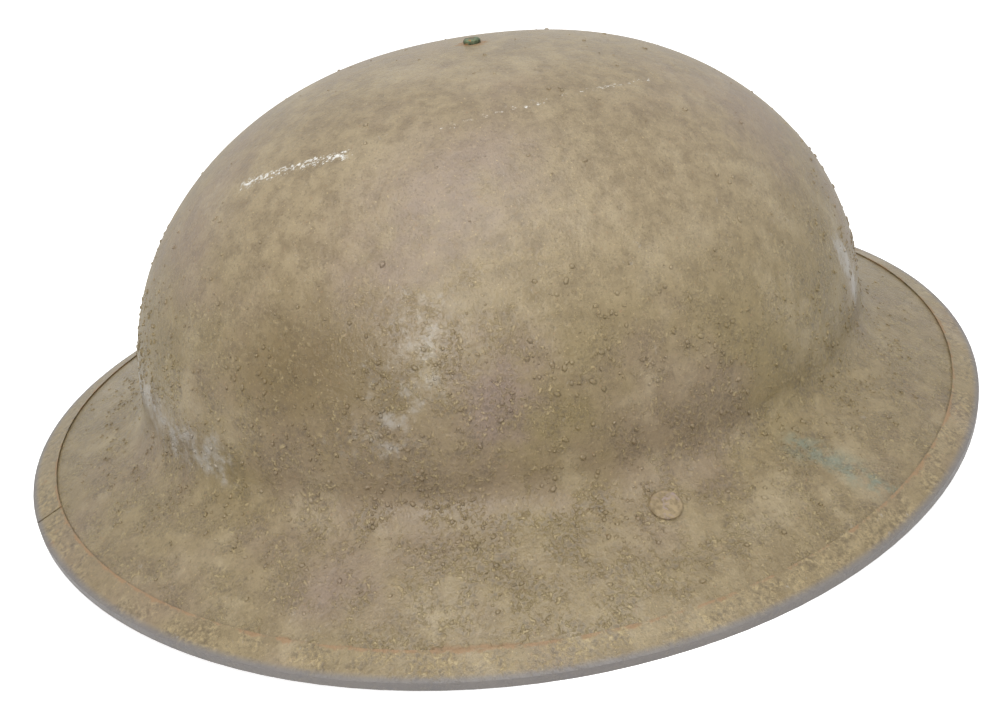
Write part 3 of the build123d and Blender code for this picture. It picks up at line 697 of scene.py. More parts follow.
def paintShell(shell):
    mesh, reach = shell.data, gritReach
    points, normals = (np.empty(len(mesh.vertices) * 3) for _ in range(2))
    mesh.vertices.foreach_get("co", points)
    mesh.vertices.foreach_get("normal", normals)
    points, normals = points.reshape(-1, 3), normals.reshape(-1, 3)
    outside = (normals * (points - np.array([0, 0, -0.02]))).sum(1) > 0
    layers = {"inside": np.where(outside, 0.0, 1.0)}
    for name, marks in paintMarks.items():
        shares = [nearness(points, line, wide) * strength for line, wide, strength in marks]
        layers[name] = np.max(shares, axis=0) * outside
    plan = np.hypot(points[:, 0] / rimOval["halfWidth"], points[:, 1] / rimOval["halfLength"])
    onBrim = np.clip((plan - reach["brimFrom"]) / reach["brimFade"], 0, 1)
    grit = reach["least"] + (1 - reach["least"]) * np.clip((reach["top"] - points[:, 2]) / reach["fade"], 0, 1)
    layers["grit"] = grit * np.where(outside, 1.0, reach["insideShare"])
    lumps = np.clip((reach["lumpTop"] - points[:, 2]) / reach["lumpFade"], 0, 1)
    lumps = (reach["lumpLeast"] + (1 - reach["lumpLeast"]) * lumps) * (1 - reach["brimLoss"] * onBrim)
    layers["lumps"] = lumps * (plan < reach["edge"]) * outside
    for name, values in layers.items():
        mesh.attributes.new(name, "FLOAT", "POINT").data.foreach_set("value", values.astype(np.float32))


paintShell(pressedShell)
dress(pressedShell, ["shell"])

# the oval that the liner's pieces share
hairGap = 0.00003  # between pieces that lie on each other
linerSizes = {
    "standoff": 0.020, "endShare": 0.88, "hoop": 0.0012, "hoopBottom": 0.176 * 0.114, "hoopHeight": 0.228 * 0.114,
    "band": 0.0014, "bandBottom": 0.15 * 0.114, "bandHeight": 0.25 * 0.114, "bandFold": 0.007, "rivetRoom": 0.0006,
    "stations": 264, "crease": 0.0005, "bandCut": (0.040, 0.550),
}
halfWide = shellSizes["bowlWidth"] / 2 - shellSizes["sheet"] - linerSizes["standoff"]
halfLong = shellSizes["bowlLength"] / 2 - shellSizes["sheet"] - linerSizes["standoff"]
endRadius = linerSizes["endShare"] * halfWide
endOffset = halfLong - endRadius
sideRadius = (halfWide ** 2 + endOffset ** 2 - endRadius ** 2) / (halfWide - endRadius) / 2
sideOffset = sideRadius - halfWide
sideTurn = math.atan2(endOffset, sideOffset)
bowlMiddle = Vector((0, shellSizes["setBack"], 0))


def ovalNormal(turn):
    return Vector((math.cos(turn), math.sin(turn), 0))


def ovalPoint(turn, inset, height=0.0):
    # the liner's oval of four arcs, where it faces an angle
    normal = ovalNormal(turn)
    if abs(normal.y) < math.sin(sideTurn):
        middle = Vector((-sideOffset if normal.x > 0 else sideOffset, 0, 0))
        return bowlMiddle + middle + normal * (sideRadius - inset) + Vector((0, 0, height))
    middle = Vector((0, endOffset if normal.y > 0 else -endOffset, 0))
    return bowlMiddle + middle + normal * (endRadius - inset) + Vector((0, 0, height))


def evenTurns(count):
    # angles whose points are evenly spaced round the oval
    fine = [2 * math.pi * n / 1440 for n in range(1441)]
    spots = [ovalPoint(t, 0) for t in fine]
    run = [0.0]
    for a, b in zip(spots[:-1], spots[1:]):
        run.append(run[-1] + (b - a).length)
    return [float(np.interp(run[-1] * n / count, run, fine)) for n in range(count)]


def sweepProfile(name, stations, profile, closedPath, finish):
    # stations are (origin, first direction, second direction); the profile is a closed outline in those two
    count, edge = len(stations), len(profile)
    points, lengths, along = [], [], 0.0
    for n, (origin, first, second) in enumerate(stations):
        if n:
            along += (origin - stations[n - 1][0]).length
        lengths.append(along)
        points += [origin + first * a + second * b for a, b in profile]
    faces = []
    for n in range(count if closedPath else count - 1):
        near, far = n * edge, ((n + 1) % count) * edge
        for k in range(edge):
            faces.append((near + k, near + (k + 1) % edge, far + (k + 1) % edge, far + k))
    if not closedPath:
        faces.append(tuple(reversed(range(edge))))
        faces.append(tuple(range((count - 1) * edge, count * edge)))
    made = newMesh(name, points, faces, finish)
    around = [0.0]
    for k in range(edge):
        (a, b), (c, d) = profile[k], profile[(k + 1) % edge]
        around.append(around[-1] + math.hypot(c - a, d - b))
    layer = made.data.uv_layers.new(name="lengthwise")
    for face in made.data.polygons:
        corners = [made.data.loops[i].vertex_index for i in face.loop_indices]
        rounds = [v % edge for v in corners]
        wraps = max(rounds) - min(rounds) == edge - 1 and len(corners) == 4
        steps = [v // edge for v in corners]
        closing = closedPath and max(steps) - min(steps) == count - 1
        for i, r, q in zip(face.loop_indices, rounds, steps):
            u = lengths[q] if not (closing and q == 0) else along + (stations[0][0] - stations[-1][0]).length
            v = around[edge] if wraps and r == 0 else around[r]
            layer.data[i].uv = (u * 10, v * 10)
    return straighten(made)


def straighten(made):
    # merges doubles and turns every face outwards
    work = bmesh.new()
    work.from_mesh(made.data)
    bmesh.ops.remove_doubles(work, verts=work.verts, dist=1e-6)
    bmesh.ops.recalc_face_normals(work, faces=work.faces)
    work.to_mesh(made.data)
    work.free()
    return made


def unsettle(made, amount, scale, seed, keep=None):
    # moves points along their normals by smooth noise
    mesh = made.data
    normals = [v.normal.copy() for v in mesh.vertices]
    for vertex, normal in zip(mesh.vertices, normals):
        share = keep(vertex.co) if keep else 1.0
        push = noise.noise(vertex.co * scale + Vector((seed, seed * 2, 0)))
        vertex.co += normal * push * amount * share


def stitchTree():
    # one short thread at each point, turned as the point says
    tree, given, out = startTree("stitchRow", [("Long", "Float"), ("Thick", "Float"), ("Thread", "Material")])
    bend = {"Resolution": 9, "Radius": times(tree, given["Long"], 0.62), "Start Angle": 0.64, "Sweep Angle": 1.86}
    line = put(tree, "GeometryNodeCurveArc", bend, mode="RADIUS").outputs[0]
    sunk = vectorOf(tree, y=times(tree, given["Long"], -0.5))
    moved = put(tree, "GeometryNodeTransform", {0: line, "Translation": sunk}).outputs[0]
    thread = swept(tree, moved, circle(tree, 7, given["Thick"]), True)
    endTree(tree, out, onEachPoint(tree, given["Geometry"], thread), given["Thread"])
    return tree


def turnOf(along, out):
    # the turn that lays X along a direction and Y out of the surface
    along = along.normalized()
    out = (out - along * out.dot(along)).normalized()
    return Matrix((along, out, along.cross(out))).transposed().to_euler("XYZ")


def pointHolder(name, places):
    # one vertex per place, with its turn: what a tree puts its instances on
    mesh = bpy.data.meshes.new(name)
    mesh.from_pydata([tuple(at) for at, _ in places], [], [])
    turns = mesh.attributes.new("turn", "FLOAT_VECTOR", "POINT")
    turns.data.foreach_set("vector", [c for _, turn in places for c in turn])
    holder = bpy.data.objects.new(name, mesh)
    scene.collection.objects.link(holder)
    return holder


stitching = stitchTree()


def sewRow(name, places, long, thick, finish):
    return runTree(pointHolder(name, places), stitching, {"Long": long, "Thick": thick, "Thread": finish}, name)


# hoop and sweat band
bandStitchSizes = {
    "count": 112, "up": 0.0052, "down": 0.0042, "shift": 0.012, "proud": 0.0001, "long": 0.0029, "thick": 0.0003,
}


def ovalStations():
    return [(ovalPoint(t, 0), -ovalNormal(t), Vector((0, 0, 1))) for t in evenTurns(linerSizes["stations"])]


def makeHoop():
    s, soft = linerSizes, 0.0003
    foot, top = s["hoopBottom"], s["hoopBottom"] + s["hoopHeight"]
    levels = [foot + s["hoopHeight"] * n / 8 for n in range(1, 8)]
    profile = [(0.0, foot + soft)] + [(0.0, z) for z in levels] + [(0.0, top - soft), (soft, top)]
    profile += [(s["hoop"] - soft, top)] + [(s["hoop"], z) for z in reversed(levels)]
    profile += [(s["hoop"] - soft, foot), (soft, foot)]
    dress(sweepProfile("linerHoop", ovalStations(), profile, True, hoopHide), ["liner_hoop"])


def makeBand():
    s, soft, wave = linerSizes, 0.0005, 0.004
    low, high = s["bandBottom"], s["bandBottom"] + s["bandHeight"]
    outer = s["hoop"] + s["rivetRoom"]
    inner = outer + s["band"]
    sole, foldTop = s["hoopBottom"] - hairGap, low + s["bandFold"]
    foldIn, foldOut = -hairGap, -hairGap - s["band"]
    climb = [low + 0.0016 + (high - low - 0.0022) * n / 16 for n in range(17)]
    profile = [(outer + 0.0004, high), (inner - 0.0004, high)] + [(inner, z) for z in reversed(climb)]
    profile += [(inner - soft, low + soft), (inner - 3 * soft, low), (foldOut + 3 * soft, low)]
    profile += [(foldOut + soft, low + soft), (foldOut, low + 0.0016), (foldOut, (low + foldTop) / 2)]
    profile += [(foldOut, foldTop - soft), (foldOut + soft, foldTop), (foldIn, foldTop)]
    profile += [(foldIn, sole + 0.001), (foldIn, sole), (outer, sole)]
    profile += [(outer, z) for z in climb if z > sole + soft]
    leather = sweepProfile("sweatBand", ovalStations(), profile, True, oilcloth)
    mesh = leather.data
    for vertex, normal in zip(mesh.vertices, [v.normal.copy() for v in mesh.vertices]):
        # the inner face creases where the head has pressed it, and the upper edge waves a little
        at = vertex.co
        inward = max(0.0, -(normal.x * at.x + normal.y * (at.y - shellSizes["setBack"])) / 0.07)
        heave = noise.noise(at * 55) + 0.5 * noise.noise(at * 150)
        at += normal * (max(heave, -0.2) * s["crease"] * min(inward, 1.0))
        if at.z > high - wave:
            at.z += 0.0006 * noise.noise(at * 40) * (at.z - high + wave) / wave
    dress(leather, ["head_band"])


def makeBandStitches():
    s, sewn = linerSizes, bandStitchSizes
    lower, upper = s["bandBottom"] + sewn["up"], s["bandBottom"] + s["bandHeight"] - sewn["down"]
    inner = s["hoop"] + s["rivetRoom"] + s["band"] + sewn["proud"]
    outside, inside = [], []
    for turn in evenTurns(sewn["count"]):
        normal = ovalNormal(turn)
        along = Vector((-normal.y, normal.x, 0))
        outside.append((ovalPoint(turn, -hairGap - s["band"], lower), turnOf(along, normal)))
        inside.append((ovalPoint(turn, inner, lower), turnOf(along, -normal)))
        inside.append((ovalPoint(turn + sewn["shift"], inner, upper), turnOf(along, -normal)))
    dress(sewRow("bandStitches", outside + inside, sewn["long"], sewn["thick"], threadFinish))


makeHoop()
makeBand()
makeBandStitches()
print("hoop and sweat band are made")

# rubber cushions
cushionSizes = {
    "height": 0.14 * 0.114, "bottom": 0.242 * 0.114, "boreShare": 0.67, "count": 12, "uneven": 0.00035, "seed": 7,
}


def cushionTree():
    tree, given, out = startTree("rubberTubes", [
        ("Radius", "Float"), ("Wall", "Float"), ("Height", "Float"), ("Uneven", "Float"), ("Seed", "Int"),
        ("Rubber", "Material"),
    ])
    path = circle(tree, 44, minus(tree, given["Radius"], ratio(tree, given["Wall"], 2.0)))
    cut = put(tree, "GeometryNodeCurvePrimitiveQuadrilateral", {"Width": given["Wall"], "Height": given["Height"]})
    soft = put(tree, "GeometryNodeFilletCurve", {0: cut.outputs[0], "Radius": 0.0005, "Count": 2}, mode="POLY")
    finer = put(tree, "GeometryNodeSubdivideCurve", {0: soft.outputs[0], "Cuts": 4})
    tubes = realized(tree, onEachPoint(tree, given["Geometry"], swept(tree, path, finer.outputs[0])))
    push = times(tree, minus(tree, ripple(tree, 75.0, 2.0, seed=given["Seed"]), 0.62), given["Uneven"])
    endTree(tree, out, nudged(tree, tubes, outwardsBy(tree, push)), given["Rubber"])
    return tree


def makeCushions():
    s = cushionSizes
    turns = [(n + 0.5) * 2 * math.pi / s["count"] for n in range(s["count"])]
    # the tube's size is read from the CAD piece: it stands beside the hoop at its first place
    first, facing = ovalPoint(turns[0], 0), ovalNormal(turns[0])
    reach = max((Vector((v.co.x, v.co.y, 0)) - first).dot(facing) for v in cadNodes["cushion_01"].data.vertices)
    radius = (reach - hairGap) / 2
    places = []
    for turn in turns:
        normal = ovalNormal(turn)
        at = ovalPoint(turn, -hairGap - radius, s["bottom"] + s["height"] / 2)
        places.append((at, turnOf(normal, Vector((-normal.y, normal.x, 0)))))
    tubes = runTree(pointHolder("rubberTubes", places), cushionTree(), {
        "Radius": radius, "Wall": radius * (1 - s["boreShare"]), "Height": s["height"], "Uneven": s["uneven"],
        "Seed": s["seed"], "Rubber": rubberFinish,
    }, "rubberTubes")
    dress(straighten(tubes), [f"cushion_{n:02d}" for n in range(1, s["count"] + 1)])


makeCushions()
print("rubber tubes are made")

# crown pad, patch and the twine net
netSizes = {
    "gores": 24, "rows": 5, "radius": 0.00088, "thick": 0.0016, "knot": 0.0017, "wander": 0.0011, "twist": 820.0,
    "step": 0.00085, "footLift": 0.0009, "loop": 0.0075, "seed": 3,
}
crownSizes = {
    "pad": 0.062, "padThick": 0.008, "patch": 0.040, "patchThick": 0.0015, "gap": 0.00003, "softGap": 0.0003,
}
lashingSizes = {
    "count": 72, "deep": 0.0022, "high": 0.0021, "thick": 0.00045, "inset": 0.0016, "drop": 0.0005, "lean": 0.22,
    "sway": 0.12,
}
crownInside = shellSizes["height"] - shellSizes["sheet"]
padBottom = crownInside - crownSizes["gap"] - crownSizes["padThick"]
netTop = padBottom - crownSizes["gap"]
patchTop = netTop - netSizes["thick"] - crownSizes["gap"]
topShare = (crownSizes["patch"] / 2 + 2 * crownSizes["softGap"]) / halfWide


def onCircle(radius, share, height):  # a point on a circle round the bowl's axis
    return bowlMiddle + Vector((radius * math.cos(2 * math.pi * share), radius * math.sin(2 * math.pi * share), height))


def fromAxis(at):
    return math.hypot(at.x, at.y - shellSizes["setBack"])


def spinOutline(name, outline, turns, finish):
    # turns an outline of (radius, height) round the bowl's axis, closed at both poles
    points, faces, rows = [], [], []
    for radius, height in outline:
        if radius < 1e-7:
            rows.append([len(points)] * turns)
            points.append(bowlMiddle + Vector((0, 0, height)))
        else:
            rows.append(list(range(len(points), len(points) + turns)))
            points += [onCircle(radius, n / turns, height) for n in range(turns)]
    for upper, lower in zip(rows[:-1], rows[1:]):
        for n in range(turns):
            corners = []
            for v in (upper[n], upper[(n + 1) % turns], lower[(n + 1) % turns], lower[n]):
                if v not in corners:
                    corners.append(v)
            if len(corners) > 2:
                faces.append(tuple(corners))
    return straighten(newMesh(name, points, faces, finish))


def makeCrownPad():
    s, steps = crownSizes, 26
    inner, half = shellSizes["crownRadius"] - shellSizes["sheet"], s["pad"] / 2

    def ceiling(radius):  # the shell's inside, above a circle round the axis
        return crownInside - inner + math.sqrt(inner ** 2 - radius ** 2)

    edge = ceiling(half) - 0.0006
    under = [(half * n / steps, ceiling(half * n / steps) - 2 * s["gap"] - 0.0003) for n in range(steps)]
    side = [(half - 0.0002, edge), (half, (edge * 2 + padBottom) / 3)]
    side += [(half - 0.0001, (edge + 2 * padBottom) / 3), (half - 0.0007, padBottom + 0.0002)]
    sole = [(half * n / steps, padBottom) for n in range(steps - 1, -1, -1)]
    pad = spinOutline("crownPad", under + side + sole, 96, feltFinish)
    unsettle(pad, 0.0005, 260, 2.0, lambda at: min(1.0, fromAxis(at) / 0.026) ** 4)
    dress(pad, ["crown_pad"])


def makeCrownPatch():
    s = crownSizes
    radius, bottom = s["patch"] / 2, patchTop - s["patchThick"]
    rings = [radius * n / 12 for n in range(1, 12)]
    top = [(0.0, patchTop)] + [(r, patchTop) for r in rings] + [(radius - 0.0004, patchTop)]
    rim = [(radius, patchTop - 0.0004), (radius, bottom + 0.0005), (radius - 0.0005, bottom)]
    under = [(r, bottom) for r in reversed(rings)] + [(0.0, bottom)]
    patch = spinOutline("crownPatch", top + rim + under, 90, patchHide)
    for vertex in patch.data.vertices:
        at = vertex.co
        if at.z < patchTop - 0.0002:  # the underside hangs lower towards its edge
            lift = max(0.0, fromAxis(at) - 0.008) / 0.012
            at.z -= 0.0004 * lift ** 2 * (1 + noise.noise(at * 90))
    dress(patch, ["crown_patch"])


def netCorner(row, gore, inset):
    steepest = math.sqrt(1 - topShare ** 2)
    rise = math.sin(row / netSizes["rows"] * math.asin(steepest)) / steepest
    reach = math.sqrt(1 - (rise * steepest) ** 2)
    foot = linerSizes["hoopBottom"] + linerSizes["hoopHeight"] + hairGap
    level = foot + rise * (netTop - inset - foot)
    at = ovalPoint(2 * math.pi * gore / netSizes["gores"], inset) - bowlMiddle
    return bowlMiddle + at * reach + Vector((0, 0, level))


def twineTree():
    tree, given, out = startTree("knottedTwine", [
        ("Radius", "Float"), ("Knot", "Float"), ("Wander", "Float"), ("Twist", "Float"), ("Step", "Float"),
        ("Seed", "Int"), ("Twine", "Material"),
    ])
    lines = put(tree, "GeometryNodeMeshToCurve", {0: given["Geometry"]}).outputs[0]
    finer = put(tree, "GeometryNodeResampleCurve", {0: lines, "Length": given["Step"]}, mode="LENGTH").outputs[0]
    # the line wanders between its knots, and two strands twist round it
    run = put(tree, "GeometryNodeSplineParameter").outputs
    drift = vectorSums(tree, "SUBTRACT", ripple(tree, 85.0, 1.0, 1), (0.5, 0.5, 0.5))
    free = times(tree, times(tree, run["Factor"], minus(tree, 1.0, run["Factor"])), 4.0)
    loose = nudged(tree, finer, scaled(tree, drift, times(tree, free, given["Wander"])))
    turns = times(tree, run["Length"], given["Twist"])
    laid = put(tree, "GeometryNodeSetCurveTilt", {0: loose, "Tilt": turns}).outputs[0]
    strand = circle(tree, 6, times(tree, given["Radius"], 0.58))
    pair = put(tree, "GeometryNodeJoinGeometry")
    for side in (0.46, -0.46):
        aside = vectorOf(tree, times(tree, given["Radius"], side))
        wire(tree, put(tree, "GeometryNodeTransform", {0: strand, "Translation": aside}).outputs[0], pair.inputs[0])
    twine = swept(tree, laid, pair.outputs[0], True)
    ball = put(tree, "GeometryNodeMeshIcoSphere", {"Radius": given["Knot"], "Subdivisions": 2}).outputs[0]
    squat = put(tree, "GeometryNodeTransform", {0: ball, "Scale": (1.0, 0.82, 0.68)}).outputs[0]
    anyTurn = {0: (0, 0, 0), 1: (6.3, 6.3, 6.3), "Seed": given["Seed"]}
    spin = put(tree, "FunctionNodeRandomValue", anyTurn, data_type="FLOAT_VECTOR").outputs[0]
    knots = put(tree, "GeometryNodeInstanceOnPoints", {0: given["Geometry"], "Instance": squat, "Rotation": spin})
    swell = times(tree, minus(tree, ripple(tree, 900.0, 1.0), 0.5), times(tree, given["Knot"], 0.7))
    lumpy = nudged(tree, realized(tree, knots.outputs[0]), outwardsBy(tree, swell))
    both = put(tree, "GeometryNodeJoinGeometry")
    wire(tree, twine, both.inputs[0])
    wire(tree, lumpy, both.inputs[0])
    endTree(tree, out, both.outputs[0], given["Twine"])
    return tree


def makeNet():
    s, gores = netSizes, netSizes["gores"]
    points, edges = [], []
    for row in range(s["rows"] + 1):
        for gore in range(gores):
            lift = Vector((0, 0, s["footLift"] if row == 0 else 0.0))
            points.append(netCorner(row, gore, s["thick"] / 2) + lift)
            edges.append((row * gores + gore, row * gores + (gore + 1) % gores))
            if row < s["rows"]:
                edges.append((row * gores + gore, (row + 1) * gores + gore))
    ring = (s["rows"] + 1) * gores
    for gore in range(gores):  # the strands run on between pad and patch to a loop round the rivet
        points.append(onCircle(s["loop"], gore / gores, netTop - s["thick"] / 2))
        edges.append((s["rows"] * gores + gore, ring + gore))
        edges.append((ring + gore, ring + (gore + 1) % gores))
    mesh = bpy.data.meshes.new("netLines")
    mesh.from_pydata([tuple(p) for p in points], edges, [])
    holder = bpy.data.objects.new("netLines", mesh)
    scene.collection.objects.link(holder)
    net = runTree(holder, twineTree(), {
        "Radius": s["radius"], "Knot": s["knot"], "Wander": s["wander"], "Twist": s["twist"], "Step": s["step"],
        "Seed": s["seed"], "Twine": twineFinish,
    }, "twineNet")
    dress(net, ["liner_net"])
    print("net", len(net.data.polygons))


def makeWhipStitches():
    # loops that lash the net's foot over the top of hoop and band
    s = lashingSizes
    tree, given, out = startTree("lashing", [
        ("Deep", "Float"), ("High", "Float"), ("Thick", "Float"), ("Twine", "Material"),
    ])
    oval = vectorOf(tree, given["High"], given["Deep"], 1.0)
    loop = put(tree, "GeometryNodeTransform", {0: circle(tree, 18, 1.0), "Scale": oval}).outputs[0]
    cord = swept(tree, loop, circle(tree, 8, given["Thick"]))
    endTree(tree, out, onEachPoint(tree, given["Geometry"], cord), given["Twine"])
    places = []
    top = linerSizes["hoopBottom"] + linerSizes["hoopHeight"]
    for n, turn in enumerate(evenTurns(s["count"])):
        normal = ovalNormal(turn)
        lean = Vector((-normal.y, normal.x, 0)) * (s["sway"] * noise.noise(Vector((n * 0.7, 0, 0))) + s["lean"])
        places.append((ovalPoint(turn, s["inset"], top - s["drop"]), turnOf(Vector((0, 0, 1)) + lean, normal)))
    lashes = runTree(pointHolder("netLashing", places), tree, {
        "Deep": s["deep"], "High": s["high"], "Thick": s["thick"], "Twine": twineFinish,
    }, "netLashing")
    dress(lashes)


makeCrownPad()
makeCrownPatch()
makeNet()
makeWhipStitches()
print("crown pieces and net are made")

# the chin strap, tucked up inside the bowl: the same turns as in the solids
strapSizes = {
    "width": 0.016, "thick": 0.002, "low": 0.263 * 0.293, "shoulder": (0.195 * 0.293, 0.702 * 0.114),
    "crown": (0.082 * 0.293, 0.833 * 0.114), "lowBend": 0.009, "shoulderBend": 0.016, "crownBend": 0.040,
    "lap": 0.013, "foldBend": 0.002, "hole": 0.0038, "holePitch": 0.012, "holeSteps": (-1, 2, 3, 4, 5, 6),
    "bailWire": 0.0026, "buckleWire": 0.0022, "buckleLength": 0.013, "tongueWire": 0.0018, "dip": 0.0012,
    "dipBend": 0.004, "bucklePlace": 0.56, "tail": 0.385, "tip": 0.010, "keeperPlace": 0.245, "keeperWidth": 0.007,
    "keeperThick": 0.0012, "droop": math.radians(20), "soft": 0.0003, "seat": hairGap, "run": 0.0001,
    "step": 0.0011, "blendFrom": 0.0062, "blendShort": 0.001,
}
strapStitchSizes = {
    "long": 0.0019, "thick": 0.00022, "pitch": 0.0021, "rows": (0.0072, 0.0112), "sunk": 0.0001,
    "keeperPitch": 0.0022, "keeperRows": (-0.3, 0.3), "keeperProud": 0.00005,
}



def rounded(points, bends, step):
    # a line of straight runs with arcs at its turns, as closely spaced points
    line = [points[0]]
    for before, corner, after, bend in zip(points, points[1:], points[2:], bends):
        a, b = (before - corner).normalized(), (after - corner).normalized()
        half = a.angle(b) / 2
        if half > math.pi / 2 - 1e-3:
            continue
        reach = bend / math.tan(half)
        centre = corner + (a + b).normalized() * (bend / math.sin(half))
        start, stop = corner + a * reach, corner + b * reach
        sweep = math.pi - 2 * half
        count = max(3, int(sweep * bend / step))
        u = (start - centre).normalized()
        v = (stop - centre).normalized()
        for n in range(count + 1):
            t = n / count
            line.append(centre + (u * math.sin((1 - t) * sweep) + v * math.sin(t * sweep)) * (bend / math.sin(sweep)))
    line.append(points[-1])
    spaced = [line[0]]
    for point in line[1:]:
        run = (point - spaced[-1]).length
        if run < 1e-6:
            continue
        for n in range(1, int(run / step) + 1):
            spaced.append(spaced[-1].lerp(point, 1 / (int(run / step) + 2 - n)))
        spaced.append(point)
    return spaced


def eyeLine(wireSize):
    # the fold round a bar at the origin, from the end of its lap to where it leaves as the main leaf
    s = strapSizes
    leaf = wireSize / 2 + s["soft"] + s["thick"] / 2
    back = leaf - s["thick"] - s["seat"]
    pinch = math.radians(45)
    leave = flat(leaf * math.sin(pinch), -leaf * math.cos(pinch))
    meet = leave + flat(math.cos(pinch), math.sin(pinch)) * ((back - leave.y) / math.sin(pinch))
    arc = [flat(leaf * math.cos(math.radians(a)), leaf * math.sin(math.radians(a))) for a in np.linspace(315, 90, 22)]
    return rounded([flat(s["lap"], back), meet, leave], [s["foldBend"]], s["step"])[:-1] + arc


def placedLine(line, origin, toward, up):
    return [origin + toward * p.x + up * p.y for p in line]


def strapFrame():
    # the strap's turns in its own plane: across the helmet and up
    s = strapSizes
    low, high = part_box("bail_right")
    heading = flat(-math.cos(s["droop"]), -math.sin(s["droop"]))
    below = flat(-heading.y, heading.x)
    bars = [flat(v.co.x, v.co.z) for v in cadNodes["bail_right"].data.vertices]
    end = max(p.dot(heading) for p in bars)
    across = [p.dot(below) for p in bars if p.dot(heading) > end - s["bailWire"] * 0.98]
    bar = heading * (end - s["bailWire"] / 2) + below * ((max(across) + min(across)) / 2)
    leaf = bar + below * (s["bailWire"] / 2 + s["soft"] + s["thick"] / 2)
    lowPoint = leaf + heading * ((leaf.x - s["low"]) / -heading.x)
    shoulder, crown = flat(*s["shoulder"]), flat(*s["crown"])
    up = (shoulder - lowPoint).normalized()
    return {
        "y": (low[1] + high[1]) / 2, "bar": bar, "heading": heading, "below": below, "leaf": leaf, "low": lowPoint,
        "shoulder": shoulder, "crown": crown, "run": (shoulder - lowPoint).length, "up": up,
        "face": flat(-up.y, up.x),
    }


strapLines = strapFrame()
buckleAt = strapSizes["bucklePlace"] * strapLines["run"]
hingeOut = -(strapSizes["buckleWire"] + strapSizes["thick"]) / 2 - strapSizes["soft"]
tailOut = strapSizes["thick"] + strapSizes["seat"] + strapSizes["run"]


def strapSpot(place, out):
    return strapLines["low"] + strapLines["up"] * place + strapLines["face"] * out


def mirroredLine(line):
    return [flat(-p.x, p.y) for p in line]


def strapProfile():
    # leather's cut: slightly rounded faces and edges, first across its thickness, then its width
    s = strapSizes
    half, side, soft = s["thick"] / 2, s["width"] / 2, 0.0006
    profile = []
    for face in (1, -1):
        for n in range(9):
            share = -1 + n / 4
            profile.append((face * half * (1 - 0.06 * share * share), face * share * (side - soft)))
        profile.append((face * (half - soft * 0.6), face * (side - soft * 0.2)))
        profile.append((0.0, face * side))
        profile.append((-face * (half - soft * 0.6), face * (side - soft * 0.2)))
    return profile


def sweepStrap(name, line):
    stations = []
    for n, point in enumerate(line):
        ahead = (line[min(n + 1, len(line) - 1)] - line[max(n - 1, 0)]).normalized()
        stations.append((upright(point), Vector((-ahead.y, 0, ahead.x)), Vector((0, 1, 0))))
    return sweepProfile(name, stations, strapProfile(), False, strapHide)


def upright(point):
    return Vector((point.x, strapLines["y"], point.y))


def cutAway(made, name, work, ownLaps=False):
    # takes the shape in work out of a piece
    mesh = bpy.data.meshes.new(name)
    work.to_mesh(mesh)
    work.free()
    cutter = bpy.data.objects.new(name, mesh)
    scene.collection.objects.link(cutter)
    hole = made.modifiers.new(name, "BOOLEAN")
    hole.object = cutter
    hole.operation = "DIFFERENCE"
    hole.solver = "EXACT"
    hole.use_self = ownLaps
    graph = bpy.context.evaluated_depsgraph_get()
    result = bpy.data.meshes.new_from_object(made.evaluated_get(graph), depsgraph=graph)
    made.modifiers.clear()
    made.data = result
    bpy.data.objects.remove(cutter)


def punch(strap, places, radius):
    # round holes through the strap: places are (point, direction through it)
    work = bmesh.new()
    for at, through in places:
        turned = Matrix.Translation(at) @ through.to_track_quat("Z", "Y").to_matrix().to_4x4()
        bmesh.ops.create_cone(
            work, cap_ends=True, segments=20, radius1=radius, radius2=radius, depth=0.008, matrix=turned
        )
    cutAway(strap, "punches", work)


def bailEye():
    s, k = strapSizes, strapLines
    return placedLine(eyeLine(s["bailWire"]), k["bar"], k["heading"], k["below"])


def makeShortStrap():
    s, k = strapSizes, strapLines
    middle = rounded([k["leaf"], k["low"], strapSpot(buckleAt, 0)], [s["lowBend"]], s["step"])
    hinge = strapSpot(buckleAt, hingeOut)
    fold = placedLine(eyeLine(s["buckleWire"]), hinge, -k["up"], k["face"])
    strap = sweepStrap("shortStrap", bailEye() + middle[1:-1] + list(reversed(fold)))
    slot = bmesh.new()  # where the tongue passes through the fold
    size = Matrix.Diagonal((0.0098, s["tongueWire"] + 2 * s["soft"], 0.0098, 1))
    bmesh.ops.create_cube(slot, size=1.0, matrix=Matrix.Translation(upright(hinge)) @ size)
    cutAway(strap, "slot", slot, True)
    unsettle(strap, 0.00012, 120, 5.0)
    print("short strap", len(strap.data.polygons), [round(c, 4) for c in strap.dimensions])
    dress(strap, ["chin_strap_short"], None)
    return strap


def longLine():
    # the long strap's middle line, and the buckle's two bars
    s, k = strapSizes, strapLines
    farOut = -s["dip"] + (s["buckleWire"] + s["thick"]) / 2 + s["soft"]
    run = math.sqrt(s["buckleLength"] ** 2 - (farOut - hingeOut) ** 2)
    points = mirroredLine([k["leaf"], k["low"], k["shoulder"], k["crown"]]) + [
        k["crown"], k["shoulder"], strapSpot(buckleAt + run + s["dipBend"], -s["dip"]),
        strapSpot(buckleAt + run - s["dipBend"] / 2, -s["dip"]), strapSpot(buckleAt + s["dipBend"] / 2, tailOut),
        strapSpot(buckleAt - s["tail"] * k["run"], tailOut),
    ]
    bends = [s[b] for b in ("lowBend", "shoulderBend", "crownBend", "crownBend", "shoulderBend")] + [s["dipBend"]] * 3
    return rounded(points, bends, s["step"]), strapSpot(buckleAt, hingeOut), strapSpot(buckleAt + run, farOut)


